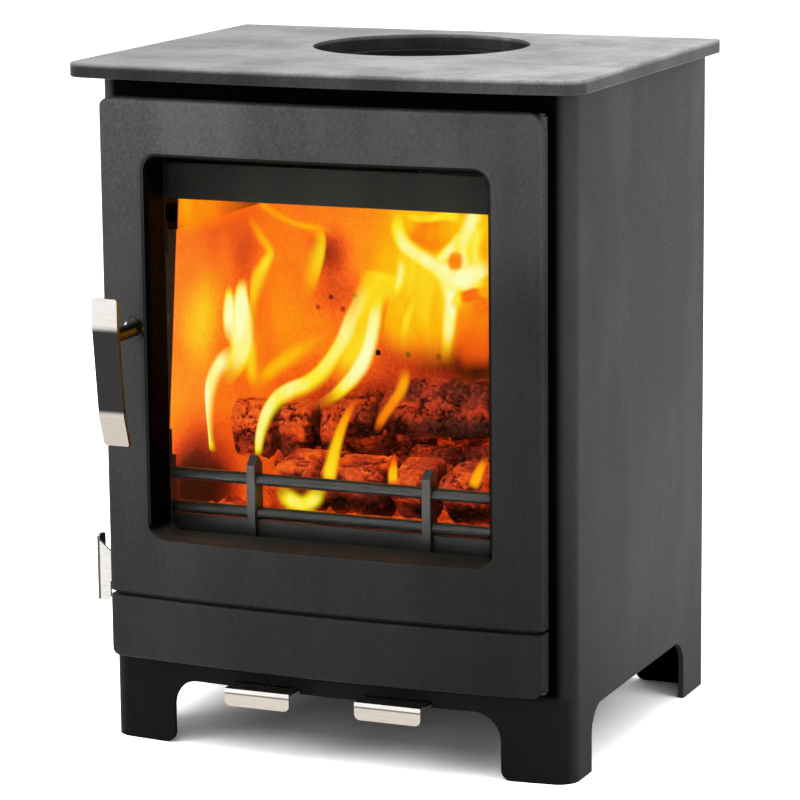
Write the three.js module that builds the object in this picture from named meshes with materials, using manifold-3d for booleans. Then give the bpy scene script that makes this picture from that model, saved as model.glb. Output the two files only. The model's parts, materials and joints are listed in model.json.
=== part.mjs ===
// A steel box stove on four legs: bowed front, cast door with a deep window, flat top with a flue hole.
// Millimetres, +Z up, +Y to the back. The floor is z = 0.
import * as THREE from 'three';
import { mergeVertices } from 'three/addons/utils/BufferGeometryUtils.js';
import Module from 'manifold-3d';

const wasm = await Module();
wasm.setup();

// ---------- driving dimensions ----------
const fit = 0.3; // gap between pieces that touch or slide
const over = 4; // how far a cutter runs past what it cuts
const lap = 0.1; // how far two shapes of one piece run into each other

const height = 583;
const bodyWidth = 422;
const bodyFront = -177; // front of the body at its middle
const bodyBack = 166;
const bowRadius = 1826; // plan curve shared by body, door and top
const bendRadius = 18; // vertical bends at the front corners
const steel = 5; // plate of the body

const topThickness = 12;
const topOverSide = 17; // top plate beyond each side of the body
const topOverFront = 30; // top plate beyond the body front
const topBack = 158;
const topCorner = 18;
const topBackCorner = 4;
const topEdge = 1.2;
const flueHoleRadius = 93.5;
const flueHoleY = 31;
const roofThickness = 5;
const flueSeatRadius = 75;

const legHeight = 57; // underside of the front rail
const sideArchHeight = 55;
const frontLegWidth = 61;
const archRadius = 24;
const footRadius = 9;
const sideFootRadius = 1;
const sideLegFront = 45; // front leg seen from the side
const sideLegBack = 50;

const doorCentre = -1.8;
const doorMargin = 15; // body beyond the door at each side, taken together with doorCentre
const doorTopGap = 15.5; // door's top edge below the top plate
const doorBottom = 78;
const doorStand = 25; // door face in front of the body face
const doorRound = 3.5;
const doorCorner = 11; // corners of the door seen from the front
const skirtDepth = 15.6;
const castWall = 7;
const grooveHeight = 133.5; // line between the upper and lower panel
const grooveWidth = 2.6;
const grooveDepth = 6;
const grooveRound = 3;

const windowCentre = -2.7;
const windowFrame = 37; // door beside the window
const windowTopFrame = 41.5; // door above the window
const windowBottom = 183;
const windowCorner = 18;
const windowFlare = 7.5;
const sillFlare = 2;
const recessBack = -160; // flat seat of the glass
const recessWall = 5;
const seatFlange = 9;
const seatThickness = 4;

const glassThickness = 4;
const glassOverlap = 6;
const gasketThickness = 1;
const clipThickness = 2;
const clipLength = 30;
const clipReach = 5;
const clipFootInset = 1; // foot of a clip clear of the glass
const clipSpread = 0.56; // levels of the clips, as a part of the window's height
const screwRadius = 2.5;
const screwHead = 3.4;
const screwHeadThickness = 1.4;

const apertureMargin = 4; // door frame to the edge of the opening
const apertureTopLap = 25.5; // how far the door covers the front above the opening
const apertureBottom = 96.5;
const apertureCorner = 12;
const ropeWidth = 8;
const ropeInsetLeft = 8.5; // rope from the outside edges of the door
const ropeInsetRight = 15.5;
const ropeInsetTop = 11.5;
const ropeInsetBottom = 7.5;
const ropeCorner = 14;
const ropeSquash = 6;
const ropeRib = 1; // wall of the channel beside the rope
const ropeRibInset = 2; // ends of the channel from the door's edge

const hingeInset = 6; // hinge axis from the door's right edge
const hingeStand = 10; // hinge axis in front of the body face
const lugRadius = 6;
const lugReach = 9;
const lugHeight = 35;
const lugRoot = 2; // how far a lug runs into the skirt
const lugTopInset = 12.5; // upper lug below the door's top edge
const lugClear = 2; // room round a bracket in the casting
const lowerLugBottom = 91.5;
const pinRadius = 3;
const pinBore = 8; // metal left at the blind end of a pin's bore
const pinSeat = 9; // end of a pin from the blind end of its lug
const bracketThickness = 9;
const bracketRoot = 6; // how far a bracket reaches round the bend of the body
const bracketTail = 2; // bracket to the right of the axis, clear of the door's corner as it swings
const pinHead = 2.5;
const pinHeadLip = 1.6;

const spindleInset = 31.6; // spindle from the door's left edge
const spindleRise = 46.25; // spindle above the door's middle
const spindleRadius = 6;
const collarRadius = 9;
const collarThickness = 4;
const collarGap = 0.6;
const bossWall = 2;
const handleStand = 51; // back of the strip in front of the door face
const handleWidth = 23.2;
const handleThickness = 4;
const handleCorner = 2;
const handleTopLength = 24;
const handleMiddleLength = 76;
const handleBottomLength = 26;
const handleMiddleBack = 8.3; // how far each stretch leans back to the door
const handleBottomBack = 8.2;
const handleTopAbove = 34; // top end above the spindle
const camRadius = 7.5;
const camThrow = 2.5;
const camShaft = 3;
const camThickness = 6;
const camClear = 1.5; // cam behind the glass
const nutRadius = 7.5;
const nutThickness = 4;
const shaftEnd = 1; // threaded end beyond the nut
const latchNotch = 15; // how far the opening is let into the front for the cam
const latchNotchHeight = 34;
const latchNotchCorner = 4;

const baseBottom = 63;
const baseThickness = 5;
const slideWidth = 59.4;
const slideThickness = 2;
const slideLip = 15;
const slideStand = 20; // fold of the strip in front of the body face
const slideCorner = 5;
const slideOffset = 59.5; // middle of each strip from the middle of the stove
const slideTravel = 30;
const slideLength = 150;
const slideBottom = 59.6;
const guideHeight = 5.2;
const guideWidth = 9;
const guideInset = 12; // front end of the runners behind the front plate
const guideLip = 6;
const guideLipThickness = 1.6;
const inletFront = -168; // air inlets in the base, in front of the ash pan
const inletLength = 28;
const inletWidth = 36;

const grateTop = 146;
const grateThickness = 8;
const grateSide = 86; // grate from the outside of each side wall
const grateDepth = 190;
const grateCentreY = -5;
const grateBar = 7;
const grateGap = 9;
const grateRim = 14;
const shelfThickness = 5; // steel ledge that carries grate and bricks
const shelfLedge = 10; // ledge under the edge of the grate
const riddleThickness = 4;
const riddleTravel = 18;
const riddleSideGap = 16; // shaker plate inside the grate's edges, with its travel on top
const riddleEndGap = 22;
const riddleRim = 10;
const riddleArm = 16;
const leverThickness = 2.5;
const leverGrip = 58;
const leverNeck = 24;
const leverStand = 25; // outer face of the grip beyond the body side
const leverGripWidth = 12;
const leverLip = 11.5;
const leverRound = 4;
const leverChamfer = 3;
const leverTopCut = 6;
const leverInside = 20; // neck inside the wall when pushed home
const leverY = -141;
const leverMiddle = 141;

const brickThickness = 25;
const brickTopGap = 141; // bricks below the top plate
const brickFront = -120; // at the foot of the side bricks
const brickLean = 36; // how far their front edge leans back at the top
const brickHoleRadius = 3;
const brickHoleDrop = 140; // lower row of air holes below the brick's top
const brickHoleRise = 22;
const brickHoleSpread = 90;
const baffleThickness = 6;
const baffleFront = -70;
const baffleRise = 34;
const baffleGap = 3; // baffle clear of the back panel
const railSize = 14;
const railThickness = 3;
const railBackInset = 60; // ends of the ledges from the ends of the baffle
const railFrontInset = 6;

const guardY = -143.5;
const guardDepth = 16;
const finThickness = 7.3;
const finAboveBar = 20.5; // top of the fins above the upper bar
const finGable = 7.5;
const finInset = 84.5; // fins from the ends of the guard
const guardCentre = -3;
const guardLap = 5.5; // guard beyond each side of the window
const barRadius = 5.25;
const lowerBar = 202;
const barPitch = 29;
const barSeat = 3; // end wall outside the bars
const barGap = 0.75; // lower bar above the guard's plate
const guardPlateThickness = 4;
const finLap = 16; // how far the fins reach down over the plate
const guardLipDrop = 2; // lip below the fins
const guardLipThickness = 3;
const guardEnd = 7;
const guardEndAboveBar = 14;
const guardGap = 1; // shelf behind the guard
const deflectorGap = 32; // deflector below the top of the opening
const deflectorDrop = 31;
const deflectorThickness = 3;
const deflectorInset = 20; // its front edge behind the front plate
const deflectorStand = 4; // its face in front of the guard's middle

const panSideGap = 7; // ash pan inside the grate's edges
const panDepth = 232;
const panHeight = 29; // low enough to lift over the bottom edge of the opening under the shaker plate
const panWall = 2;
const panFront = -125;
const panHandleWidth = 70;
const panHandleRod = 3;
const panHandleReach = 20;
const panHandleLevel = 0.62; // part of the pan's height

const coverRadius = 72;
const outletRadius = 62;
const outletTopGap = 39; // back panel left above the outlet
const coverThickness = 5;
const coverBolt = 5;
const coverBoltHead = 4;
const coverBoltInset = 5;

const logThickness = 62;
const bedSunk = 4; // top of the embers below one log's thickness
const bedEdge = 4;
const bedSideGap = 6;
const bedEndGap = 4;

// ---------- places worked out from them ----------
const bodyHalf = bodyWidth / 2;
const topWidth = bodyWidth + 2 * topOverSide;
const bowCentre = bodyFront + bowRadius;
const bodyTop = height - topThickness;
const bowY = (x, offset = 0) => bowCentre - Math.sqrt((bowRadius + offset) ** 2 - x * x);
const doorWidth = bodyWidth - 2 * doorMargin;
const doorTop = bodyTop - doorTopGap;
const doorLeft = doorCentre - doorWidth / 2;
const doorRight = doorCentre + doorWidth / 2;
const windowWidth = doorWidth - 2 * windowFrame;
const windowTop = doorTop - windowTopFrame;
const windowLeft = windowCentre - windowWidth / 2;
const windowRight = windowLeft + windowWidth;
const recessLeft = windowLeft + windowFlare;
const recessRight = windowRight - windowFlare;
const recessTop = windowTop - windowFlare;
const recessBottom = windowBottom + sillFlare;
const frameGrow = recessWall + seatFlange;
const apertureLeft = recessLeft - frameGrow - apertureMargin;
const apertureRight = recessRight + frameGrow + apertureMargin;
const apertureTop = doorTop - apertureTopLap;
const glassFront = recessBack + gasketThickness;
const glassBack = glassFront + glassThickness;
const hingeX = doorRight - hingeInset;
const hingeY = bowY(hingeX) - hingeStand;
const upperLugBottom = doorTop - lugTopInset - lugHeight;
const spindleX = doorLeft + spindleInset;
const spindleZ = (doorBottom + doorTop) / 2 + spindleRise;
const innerHalf = bodyHalf - steel;
const innerBack = bodyBack - steel;
const grateBottom = grateTop - grateThickness;
const shelfBottom = grateBottom - shelfThickness;
const baseTop = baseBottom + baseThickness;
const grateWidth = bodyWidth - 2 * grateSide;
const panWidth = grateWidth - 2 * panSideGap;
const brickTop = bodyTop - brickTopGap;
const outletHeight = bodyTop - outletTopGap - outletRadius;
const guardWidth = windowWidth + 2 * guardLap;
const upperBar = lowerBar + barPitch;
const guardPlateTop = lowerBar - barRadius - barGap;
const guardEndTop = upperBar + guardEndAboveBar;
const finTop = upperBar + finAboveBar;
const finBottom = guardPlateTop - finLap;
const deflectorTop = apertureTop - deflectorGap;
const deflectorBottom = deflectorTop - deflectorDrop;

// ---------- tools of the trade ----------
const toSolid = (geometry) => {
  const bare = geometry.clone();
  bare.deleteAttribute('normal');
  bare.deleteAttribute('uv');
  const merged = mergeVertices(bare, 1e-4);
  return new wasm.Manifold(new wasm.Mesh({
    numProp: 3,
    vertProperties: new Float32Array(merged.attributes.position.array),
    triVerts: new Uint32Array(merged.index.array),
  }));
};

const toGeometry = (solid) => {
  const mesh = solid.getMesh();
  const geometry = new THREE.BufferGeometry();
  geometry.setAttribute('position', new THREE.BufferAttribute(new Float32Array(mesh.vertProperties), 3));
  geometry.setIndex(new THREE.BufferAttribute(new Uint32Array(mesh.triVerts), 1));
  geometry.computeVertexNormals();
  return geometry;
};

const extrude = (shape, depth, segments) => new THREE.ExtrudeGeometry(shape, {
  depth, bevelEnabled: false, curveSegments: segments, steps: 1,
});

// plan outline raised along Z, front outline pushed along Y, side outline (y, z) pushed along X
const raise = (shape, low, high, segments = 6) =>
  toSolid(extrude(shape, high - low, segments).translate(0, 0, low));
const push = (shape, front, back, segments = 6) =>
  toSolid(extrude(shape, back - front, segments).rotateX(Math.PI / 2).translate(0, back, 0));
const sideways = (shape, left, right, segments = 6) => {
  const turn = new THREE.Matrix4().makeBasis(
    new THREE.Vector3(0, 1, 0), new THREE.Vector3(0, 0, 1), new THREE.Vector3(1, 0, 0));
  return toSolid(extrude(shape, right - left, segments).applyMatrix4(turn).translate(left, 0, 0));
};

const polygon = (points) => new THREE.Shape(points.map(([x, y]) => new THREE.Vector2(x, y)));

const rounded = (left, right, low, high, radius) => {
  const shape = new THREE.Shape();
  shape.moveTo(left + radius, low);
  shape.lineTo(right - radius, low);
  shape.absarc(right - radius, low + radius, radius, -Math.PI / 2, 0);
  shape.lineTo(right, high - radius);
  shape.absarc(right - radius, high - radius, radius, 0, Math.PI / 2);
  shape.lineTo(left + radius, high);
  shape.absarc(left + radius, high - radius, radius, Math.PI / 2, Math.PI);
  shape.lineTo(left, low + radius);
  shape.absarc(left + radius, low + radius, radius, Math.PI, Math.PI * 1.5);
  return shape;
};

const block = (left, right, front, back, low, high) =>
  toSolid(new THREE.BoxGeometry(right - left, back - front, high - low)
    .translate((left + right) / 2, (front + back) / 2, (low + high) / 2));

// round bar whose axis runs along x, y or z through the point `at`, from `start` to `end`
const bar = (axis, radius, start, end, at, sides = 24) => {
  const geometry = new THREE.CylinderGeometry(radius, radius, end - start, sides);
  if (axis === 'x') geometry.rotateZ(Math.PI / 2).translate((start + end) / 2, at[0], at[1]);
  if (axis === 'y') geometry.translate(at[0], (start + end) / 2, at[1]);
  if (axis === 'z') geometry.rotateX(Math.PI / 2).translate(at[0], at[1], (start + end) / 2);
  return toSolid(geometry);
};

const joinAll = (solids) => solids.reduce((whole, piece) => whole.add(piece));

// closed skin over rings of points, one ring after another
const skin = (rings) => {
  const points = [];
  const faces = [];
  const count = rings[0].length;
  rings.forEach((ring) => ring.forEach((point) => points.push(...point)));
  for (let ring = 0; ring < rings.length - 1; ring += 1) {
    for (let step = 0; step < count; step += 1) {
      const next = (step + 1) % count;
      const a = ring * count + step;
      const b = ring * count + next;
      faces.push(a, b, b + count, a, b + count, a + count);
    }
  }
  [0, rings.length - 1].forEach((ring) => {
    const middle = [0, 1, 2].map((axis) =>
      rings[ring].reduce((sum, point) => sum + point[axis], 0) / count);
    const hub = points.length / 3;
    points.push(...middle);
    for (let step = 0; step < count; step += 1) {
      const a = ring * count + step;
      const b = ring * count + (step + 1) % count;
      if (ring === 0) faces.push(hub, b, a);
      else faces.push(hub, a, b);
    }
  });
  const corner = (index) => new THREE.Vector3().fromArray(points, faces[index] * 3);
  let volume = 0;
  for (let face = 0; face < faces.length; face += 3) {
    volume += corner(face).dot(corner(face + 1).cross(corner(face + 2)));
  }
  const geometry = new THREE.BufferGeometry();
  geometry.setAttribute('position', new THREE.BufferAttribute(new Float32Array(points), 3));
  geometry.setIndex(volume < 0 ? faces.reverse() : faces);
  return toSolid(geometry);
};

const spread = (start, end, steps) =>
  Array.from({ length: steps + 1 }, (_, step) => start + (end - start) * step / steps);

// ---------- plan shapes that follow the bow ----------
// body outline from back left to back right, with both front bends
const planPoints = (half, offset, corner, centre = 0) => {
  const radius = bowRadius + offset;
  const cornerX = half - corner;
  const cornerY = bowCentre - Math.sqrt((radius - corner) ** 2 - cornerX ** 2);
  const tangent = Math.atan2(cornerY - bowCentre, cornerX);
  const bend = spread(tangent, 0, 6).map((angle) =>
    [cornerX + corner * Math.cos(angle), cornerY + corner * Math.sin(angle)]);
  const start = bend[0][0];
  const front = spread(0, start, 10).slice(0, -1).map((x) => [x, bowY(x, offset)]);
  const right = [...front, ...bend];
  const left = right.slice(1).reverse().map(([x, y]) => [-x, y]);
  return [...left, ...right].map(([x, y]) => [x + centre, y]);
};

// slab between two bowed faces, or a bowed face and a flat back
const bowedSlab = (left, right, frontOffset, backOffset, low, high, flatBack = null, steps = 20) => {
  const front = spread(left, right, steps).map((x) => [x, bowY(x, frontOffset)]);
  const back = flatBack === null
    ? spread(right, left, steps).map((x) => [x, bowY(x, backOffset)])
    : [[right, flatBack], [left, flatBack]];
  return raise(polygon([...front, ...back]), low, high);
};

// bowed pad with its front edges rounded over, flat along Z
const bowedPad = (left, right, low, high, offset, backOffset, rounds) => {
  const { sides, bottom, top } = rounds;
  const ease = (room, radius) => (room >= radius ? 0 : (radius - room) / radius);
  const edge = [0, 0.08, 0.3, 0.6, 1];
  const xs = [
    ...edge.map((part) => left + part * sides),
    ...spread(left + sides, right - sides, 16).slice(1, -1),
    ...edge.map((part) => right - part * sides).reverse(),
  ];
  const zs = [
    ...edge.map((part) => low + part * bottom),
    ...edge.map((part) => high - part * top).reverse(),
  ];
  return skin(xs.map((x) => {
    const front = zs.map((z) => {
      const across = ease(Math.min(x - left, right - x), sides);
      const along = Math.max(ease(z - low, bottom), ease(high - z, top));
      const nearer = z - low < high - z ? bottom : top;
      const radius = Math.max(sides * Math.sign(across), nearer * Math.sign(along));
      const lean = Math.min(1, Math.hypot(across, along));
      return [x, bowY(x, offset - radius * (1 - Math.sqrt(1 - lean * lean))), z];
    });
    return [[x, bowY(x, backOffset), low], ...front, [x, bowY(x, backOffset), high]];
  }));
};

// ---------- carcass ----------
const archCut = (left, right, top, radius, foot) => {
  const shape = new THREE.Shape();
  shape.moveTo(left - foot, -over);
  shape.lineTo(left - foot, 0);
  shape.absarc(left - foot, foot, foot, -Math.PI / 2, 0);
  shape.lineTo(left, top - radius);
  shape.absarc(left + radius, top - radius, radius, Math.PI, Math.PI / 2, true);
  shape.lineTo(right - radius, top);
  shape.absarc(right - radius, top - radius, radius, Math.PI / 2, 0, true);
  shape.lineTo(right, foot);
  shape.absarc(right + foot, foot, foot, Math.PI, Math.PI * 1.5);
  shape.lineTo(right + foot, -over);
  return shape;
};

const frontArch = archCut(-bodyHalf + frontLegWidth, bodyHalf - frontLegWidth, legHeight,
  archRadius, footRadius);

const makeBodyShell = () => {
  const outer = planPoints(bodyHalf, 0, bendRadius);
  const inner = planPoints(innerHalf, -steel, bendRadius - steel);
  const plan = polygon([
    [-bodyHalf, bodyBack], ...outer, [bodyHalf, bodyBack],
    [innerHalf, bodyBack], ...inner.reverse(), [-innerHalf, bodyBack],
  ]);
  const front = bodyFront - over;
  const behind = bodyFront + steel + bendRadius;
  const notch = rounded(apertureLeft - latchNotch, apertureLeft + apertureCorner,
    spindleZ - latchNotchHeight / 2, spindleZ + latchNotchHeight / 2, latchNotchCorner);
  const sideArch = archCut(bowY(bodyHalf) + sideLegFront, bodyBack - sideLegBack, sideArchHeight, archRadius,
    sideFootRadius);
  const opening = rounded(apertureLeft, apertureRight, apertureBottom, apertureTop, apertureCorner);
  let shell = raise(plan, 0, bodyTop)
    .subtract(push(opening, front, behind))
    .subtract(push(notch, front, behind))
    .subtract(push(frontArch, front, behind))
    .subtract(sideways(sideArch, -bodyHalf - over, bodyHalf + over));
  [-slideOffset, slideOffset].forEach((middle) => {
    shell = shell.subtract(block(middle - slideWidth / 2 - 2 * fit, middle + slideWidth / 2 + 2 * fit,
      front, behind, legHeight - over, slideBottom + slideThickness + 2 * fit));
  });
  const slotLow = leverMiddle - leverNeck / 2 - 2 * fit;
  const slotHigh = leverMiddle + leverNeck / 2 + 2 * fit;
  return shell.subtract(block(-bodyHalf - over, -innerHalf + over,
    leverY - 2 * fit, leverY + leverThickness + 2 * fit, slotLow, slotHigh));
};

const makeBackPanel = () => {
  const panel = block(-innerHalf + fit, innerHalf - fit, innerBack, bodyBack, 0, bodyTop);
  const sideLeg = frontLegWidth - steel;
  const arch = archCut(-innerHalf + sideLeg, innerHalf - sideLeg, sideArchHeight, archRadius, footRadius);
  return panel
    .subtract(push(arch, innerBack - over, bodyBack + over))
    .subtract(bar('y', outletRadius, innerBack - over, bodyBack + over, [0, outletHeight], 40));
};

const makeTopPlate = () => {
  const outline = planPoints(topWidth / 2, topOverFront, topCorner);
  const shape = new THREE.Shape();
  const half = topWidth / 2;
  shape.moveTo(half, topBack - topBackCorner);
  shape.absarc(half - topBackCorner, topBack - topBackCorner, topBackCorner, 0, Math.PI / 2);
  shape.absarc(-half + topBackCorner, topBack - topBackCorner, topBackCorner, Math.PI / 2, Math.PI);
  outline.forEach(([x, y]) => shape.lineTo(x, y));
  const geometry = new THREE.ExtrudeGeometry(shape, {
    depth: topThickness - 2 * topEdge,
    bevelEnabled: true,
    bevelThickness: topEdge,
    bevelSize: topEdge,
    bevelOffset: -topEdge,
    bevelSegments: 2,
    curveSegments: 3,
    steps: 1,
  });
  return toSolid(geometry.translate(0, 0, bodyTop + topEdge))
    .subtract(bar('z', flueHoleRadius, bodyTop - over, height + over, [0, flueHoleY], 64));
};

// everything that fits inside the walls, from low to high
const insideBody = (low, high) => {
  const inside = planPoints(innerHalf - fit, -steel - fit, bendRadius - steel);
  const back = innerBack - fit;
  return raise(polygon([[-innerHalf + fit, back], ...inside, [innerHalf - fit, back]]), low, high);
};

const roofTop = bodyTop - fit;
const roofBottom = roofTop - roofThickness;
const makeRoof = () => insideBody(roofBottom, roofTop)
  .subtract(bar('z', flueSeatRadius, roofBottom - over, roofTop + over, [0, flueHoleY], 48));

const makeBase = () => {
  let plate = insideBody(baseBottom, baseTop);
  [-slideOffset, slideOffset].forEach((middle) => {
    plate = plate.subtract(block(middle - inletWidth / 2, middle + inletWidth / 2,
      inletFront, inletFront + inletLength, baseBottom - over, baseTop + over));
  });
  return plate;
};

// air slides: strips under the base, each with a lip that is bent down in front of the rail
const slideFront = bodyFront - slideStand;
const makeSlide = (middle) => {
  const left = middle - slideWidth / 2;
  const right = middle + slideWidth / 2;
  const strip = block(left, right, slideFront + slideThickness, slideFront + slideLength,
    slideBottom, slideBottom + slideThickness);
  // pulled out, this slot comes under the inlet in the base
  const slot = block(middle - inletWidth / 2, middle + inletWidth / 2, inletFront + slideTravel,
    inletFront + slideTravel + inletLength, slideBottom - over, slideBottom + slideThickness + over);
  const lip = new THREE.Shape();
  lip.moveTo(left, slideBottom + slideThickness);
  lip.lineTo(left, slideBottom + slideThickness - slideLip + slideCorner);
  lip.absarc(left + slideCorner, slideBottom + slideThickness - slideLip + slideCorner, slideCorner,
    Math.PI, Math.PI * 1.5);
  lip.absarc(right - slideCorner, slideBottom + slideThickness - slideLip + slideCorner, slideCorner,
    Math.PI * 1.5, Math.PI * 2);
  lip.lineTo(right, slideBottom + slideThickness);
  return strip.subtract(slot).add(push(lip, slideFront, slideFront + slideThickness));
};

// runner under the base: a block with lips that hold the strips beside it
const makeGuide = (middle, lips) => {
  const front = bodyFront + steel + guideInset;
  const back = slideFront + slideLength + slideTravel;
  const low = baseBottom - guideHeight;
  let guide = block(middle - guideWidth / 2, middle + guideWidth / 2, front, back, low, baseBottom);
  lips.forEach((side) => {
    const inner = middle + side * guideWidth / 2;
    const outer = middle + side * (guideWidth / 2 + guideLip);
    guide = guide.add(block(Math.min(inner, outer), Math.max(inner, outer), front, back,
      low, low + guideLipThickness));
  });
  return guide;
};

// ---------- firebox ----------
const brickSide = innerHalf - fit;
const makeSideBrick = (side) => {
  const outer = side * brickSide;
  const inner = side * (brickSide - brickThickness);
  const back = innerBack - fit;
  return sideways(polygon([
    [brickFront, grateBottom], [back, grateBottom], [back, brickTop], [brickFront + brickLean, brickTop],
  ]), Math.min(inner, outer), Math.max(inner, outer));
};

const makeBackBrick = () => {
  const half = brickSide - brickThickness - fit;
  const back = innerBack - fit;
  const face = back - brickThickness;
  let brick = block(-half, half, face, back, grateBottom, brickTop);
  const lowRow = brickTop - brickHoleDrop;
  [lowRow, lowRow + brickHoleRise].forEach((level, row) => {
    spread(-brickHoleSpread, brickHoleSpread, 6 - row).forEach((x) => {
      brick = brick.subtract(bar('y', brickHoleRadius, face - over, back + over, [x, level], 8));
    });
  });
  return brick;
};

const shelfFront = guardY - guardDepth / 2 - guardGap;
const leverInner = -innerHalf + riddleTravel + leverInside; // inner end of the lever's neck
const makeShelf = () => {
  const outer = insideBody(shelfBottom, grateBottom)
    .subtract(block(-bodyHalf, bodyHalf, bodyFront - over, shelfFront, 0, bodyTop))
    .subtract(block(-bodyHalf, leverInner + fit, leverY - 2 * fit, leverY + leverThickness + 2 * fit,
      0, bodyTop));
  return outer.subtract(block(-grateWidth / 2 + shelfLedge, grateWidth / 2 - shelfLedge,
    grateCentreY - grateDepth / 2 + shelfLedge, grateCentreY + grateDepth / 2 - shelfLedge,
    shelfBottom - over, grateBottom + over));
};

const makeGrate = () => {
  const left = -grateWidth / 2;
  const front = grateCentreY - grateDepth / 2;
  const back = grateCentreY + grateDepth / 2;
  let grate = block(left, -left, front, back, grateBottom + fit, grateTop);
  const pitch = grateBar + grateGap;
  const count = Math.floor((grateWidth - 2 * grateRim + grateBar) / pitch);
  const start = -(count * pitch - grateBar) / 2;
  for (let slot = 0; slot < count; slot += 1) {
    const slotLeft = start + slot * pitch;
    grate = grate.subtract(block(slotLeft, slotLeft + grateGap, front + grateRim, back - grateRim,
      grateBottom - over, grateTop + over));
  }
  return grate;
};

// shaker plate that hangs under the grate, worked by the lever at the left side
const riddleTop = shelfBottom - fit;
const riddleBottom = riddleTop - riddleThickness;
const makeRiddle = () => {
  const half = grateWidth / 2 - riddleSideGap - riddleTravel / 2;
  const front = grateCentreY - grateDepth / 2 + riddleEndGap;
  const back = grateCentreY + grateDepth / 2 - riddleEndGap;
  let plate = block(-half, half, front, back, riddleBottom, riddleTop);
  const pitch = grateBar + grateGap;
  const count = Math.floor((2 * half - grateBar) / pitch);
  const start = -(count * pitch - grateBar) / 2;
  for (let slot = 0; slot < count; slot += 1) {
    const slotLeft = start + slot * pitch;
    plate = plate.subtract(block(slotLeft, slotLeft + grateGap, front + riddleRim, back - riddleRim,
      riddleBottom - over, riddleTop + over));
  }
  const arm = block(leverInner - riddleArm, -half + over, front, front + riddleArm, riddleBottom, riddleTop);
  const crossArm = block(leverInner - riddleArm, leverInner, leverY + leverThickness + fit,
    front + riddleArm, riddleBottom, riddleTop);
  return plate.add(arm).add(crossArm);
};

const makeLever = () => {
  const out = -bodyHalf - leverStand;
  const low = leverMiddle - leverGrip / 2;
  const high = leverMiddle + leverGrip / 2;
  const neckLow = leverMiddle - leverNeck / 2;
  const neckHigh = leverMiddle + leverNeck / 2;
  const grip = out + leverGripWidth;
  const web = polygon([
    [out, low], [grip - leverChamfer, low], [grip, low + leverChamfer],
    [grip, neckLow], [leverInner, neckLow], [leverInner, neckHigh],
    [grip + leverRound, neckHigh], [out + leverThickness, high - leverTopCut], [out, high - leverTopCut],
  ]);
  const bend = leverY + leverLip - leverRound;
  const lip = new THREE.Shape();
  lip.moveTo(leverY, low);
  lip.lineTo(bend, low);
  lip.absarc(bend, low + leverRound, leverRound, -Math.PI / 2, 0);
  lip.absarc(bend, high - leverRound, leverRound, 0, Math.PI / 2);
  lip.lineTo(leverY, high);
  return push(web, leverY, leverY + leverThickness).add(sideways(lip, out, out + leverThickness));
};

const baffleBack = innerBack - fit - baffleGap;
const makeBaffle = () => {
  const half = innerHalf - 2 * fit;
  const low = brickTop + fit;
  const shape = polygon([
    [baffleBack, low], [baffleBack, low + baffleThickness],
    [baffleFront, low + baffleRise + baffleThickness], [baffleFront, low + baffleRise],
  ]);
  return sideways(shape, -half, half);
};

const makeBaffleRail = (side) => {
  const outer = side * (innerHalf - fit);
  const face = side * (innerHalf - fit - railThickness);
  const ledge = side * (innerHalf - fit - railSize);
  const slope = baffleRise / (baffleBack - baffleFront);
  const lift = (y) => brickTop + (baffleBack - y) * slope;
  const back = baffleBack - railBackInset;
  const front = baffleFront + railFrontInset;
  const strip = (thick) => polygon([
    [back, lift(back)], [front, lift(front)], [front, lift(front) - thick], [back, lift(back) - thick],
  ]);
  const [ledgeLeft, ledgeRight] = [Math.min(outer, ledge), Math.max(outer, ledge)];
  const [faceLeft, faceRight] = [Math.min(outer, face), Math.max(outer, face)];
  const flat = sideways(strip(railThickness), ledgeLeft, ledgeRight);
  const upright = sideways(strip(railSize), faceLeft, faceRight);
  return flat.add(upright)
    .intersect(block(-bodyHalf, bodyHalf, bodyFront, bodyBack, brickTop + fit, bodyTop));
};

const makeDeflector = () => {
  const half = innerHalf - fit;
  const front = bodyFront + steel + deflectorInset;
  const face = guardY - deflectorStand;
  const turned = polygon([
    [front, deflectorTop], [front, deflectorTop - deflectorThickness],
    [face, deflectorTop - deflectorThickness], [face, deflectorBottom],
    [face + deflectorThickness, deflectorBottom], [face + deflectorThickness, deflectorTop],
  ]);
  return sideways(turned, -half, half).intersect(insideBody(0, bodyTop));
};

// ---------- log guard ----------
const guardFront = guardY - guardDepth / 2;
const guardBack = guardY + guardDepth / 2;
const guardLeft = guardCentre - guardWidth / 2;
const guardRight = guardLeft + guardWidth;

const guardSide = (top, gable) => polygon([
  [guardFront, finBottom], [guardBack, finBottom], [guardBack, top - gable],
  [guardY, top], [guardFront, top - gable],
]);

const makeFin = (middle) => {
  const left = middle - finThickness / 2;
  const right = middle + finThickness / 2;
  return sideways(guardSide(finTop, finGable), left, right)
    .subtract(block(left - over, right + over, guardY - guardPlateThickness / 2 - fit,
      guardY + guardPlateThickness / 2 + fit, finBottom - over, guardPlateTop + fit))
    .subtract(bar('x', barRadius + fit, left - over, right + over, [guardY, upperBar], 16))
    .subtract(bar('x', barRadius + fit, left - over, right + over, [guardY, lowerBar], 16));
};

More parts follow.
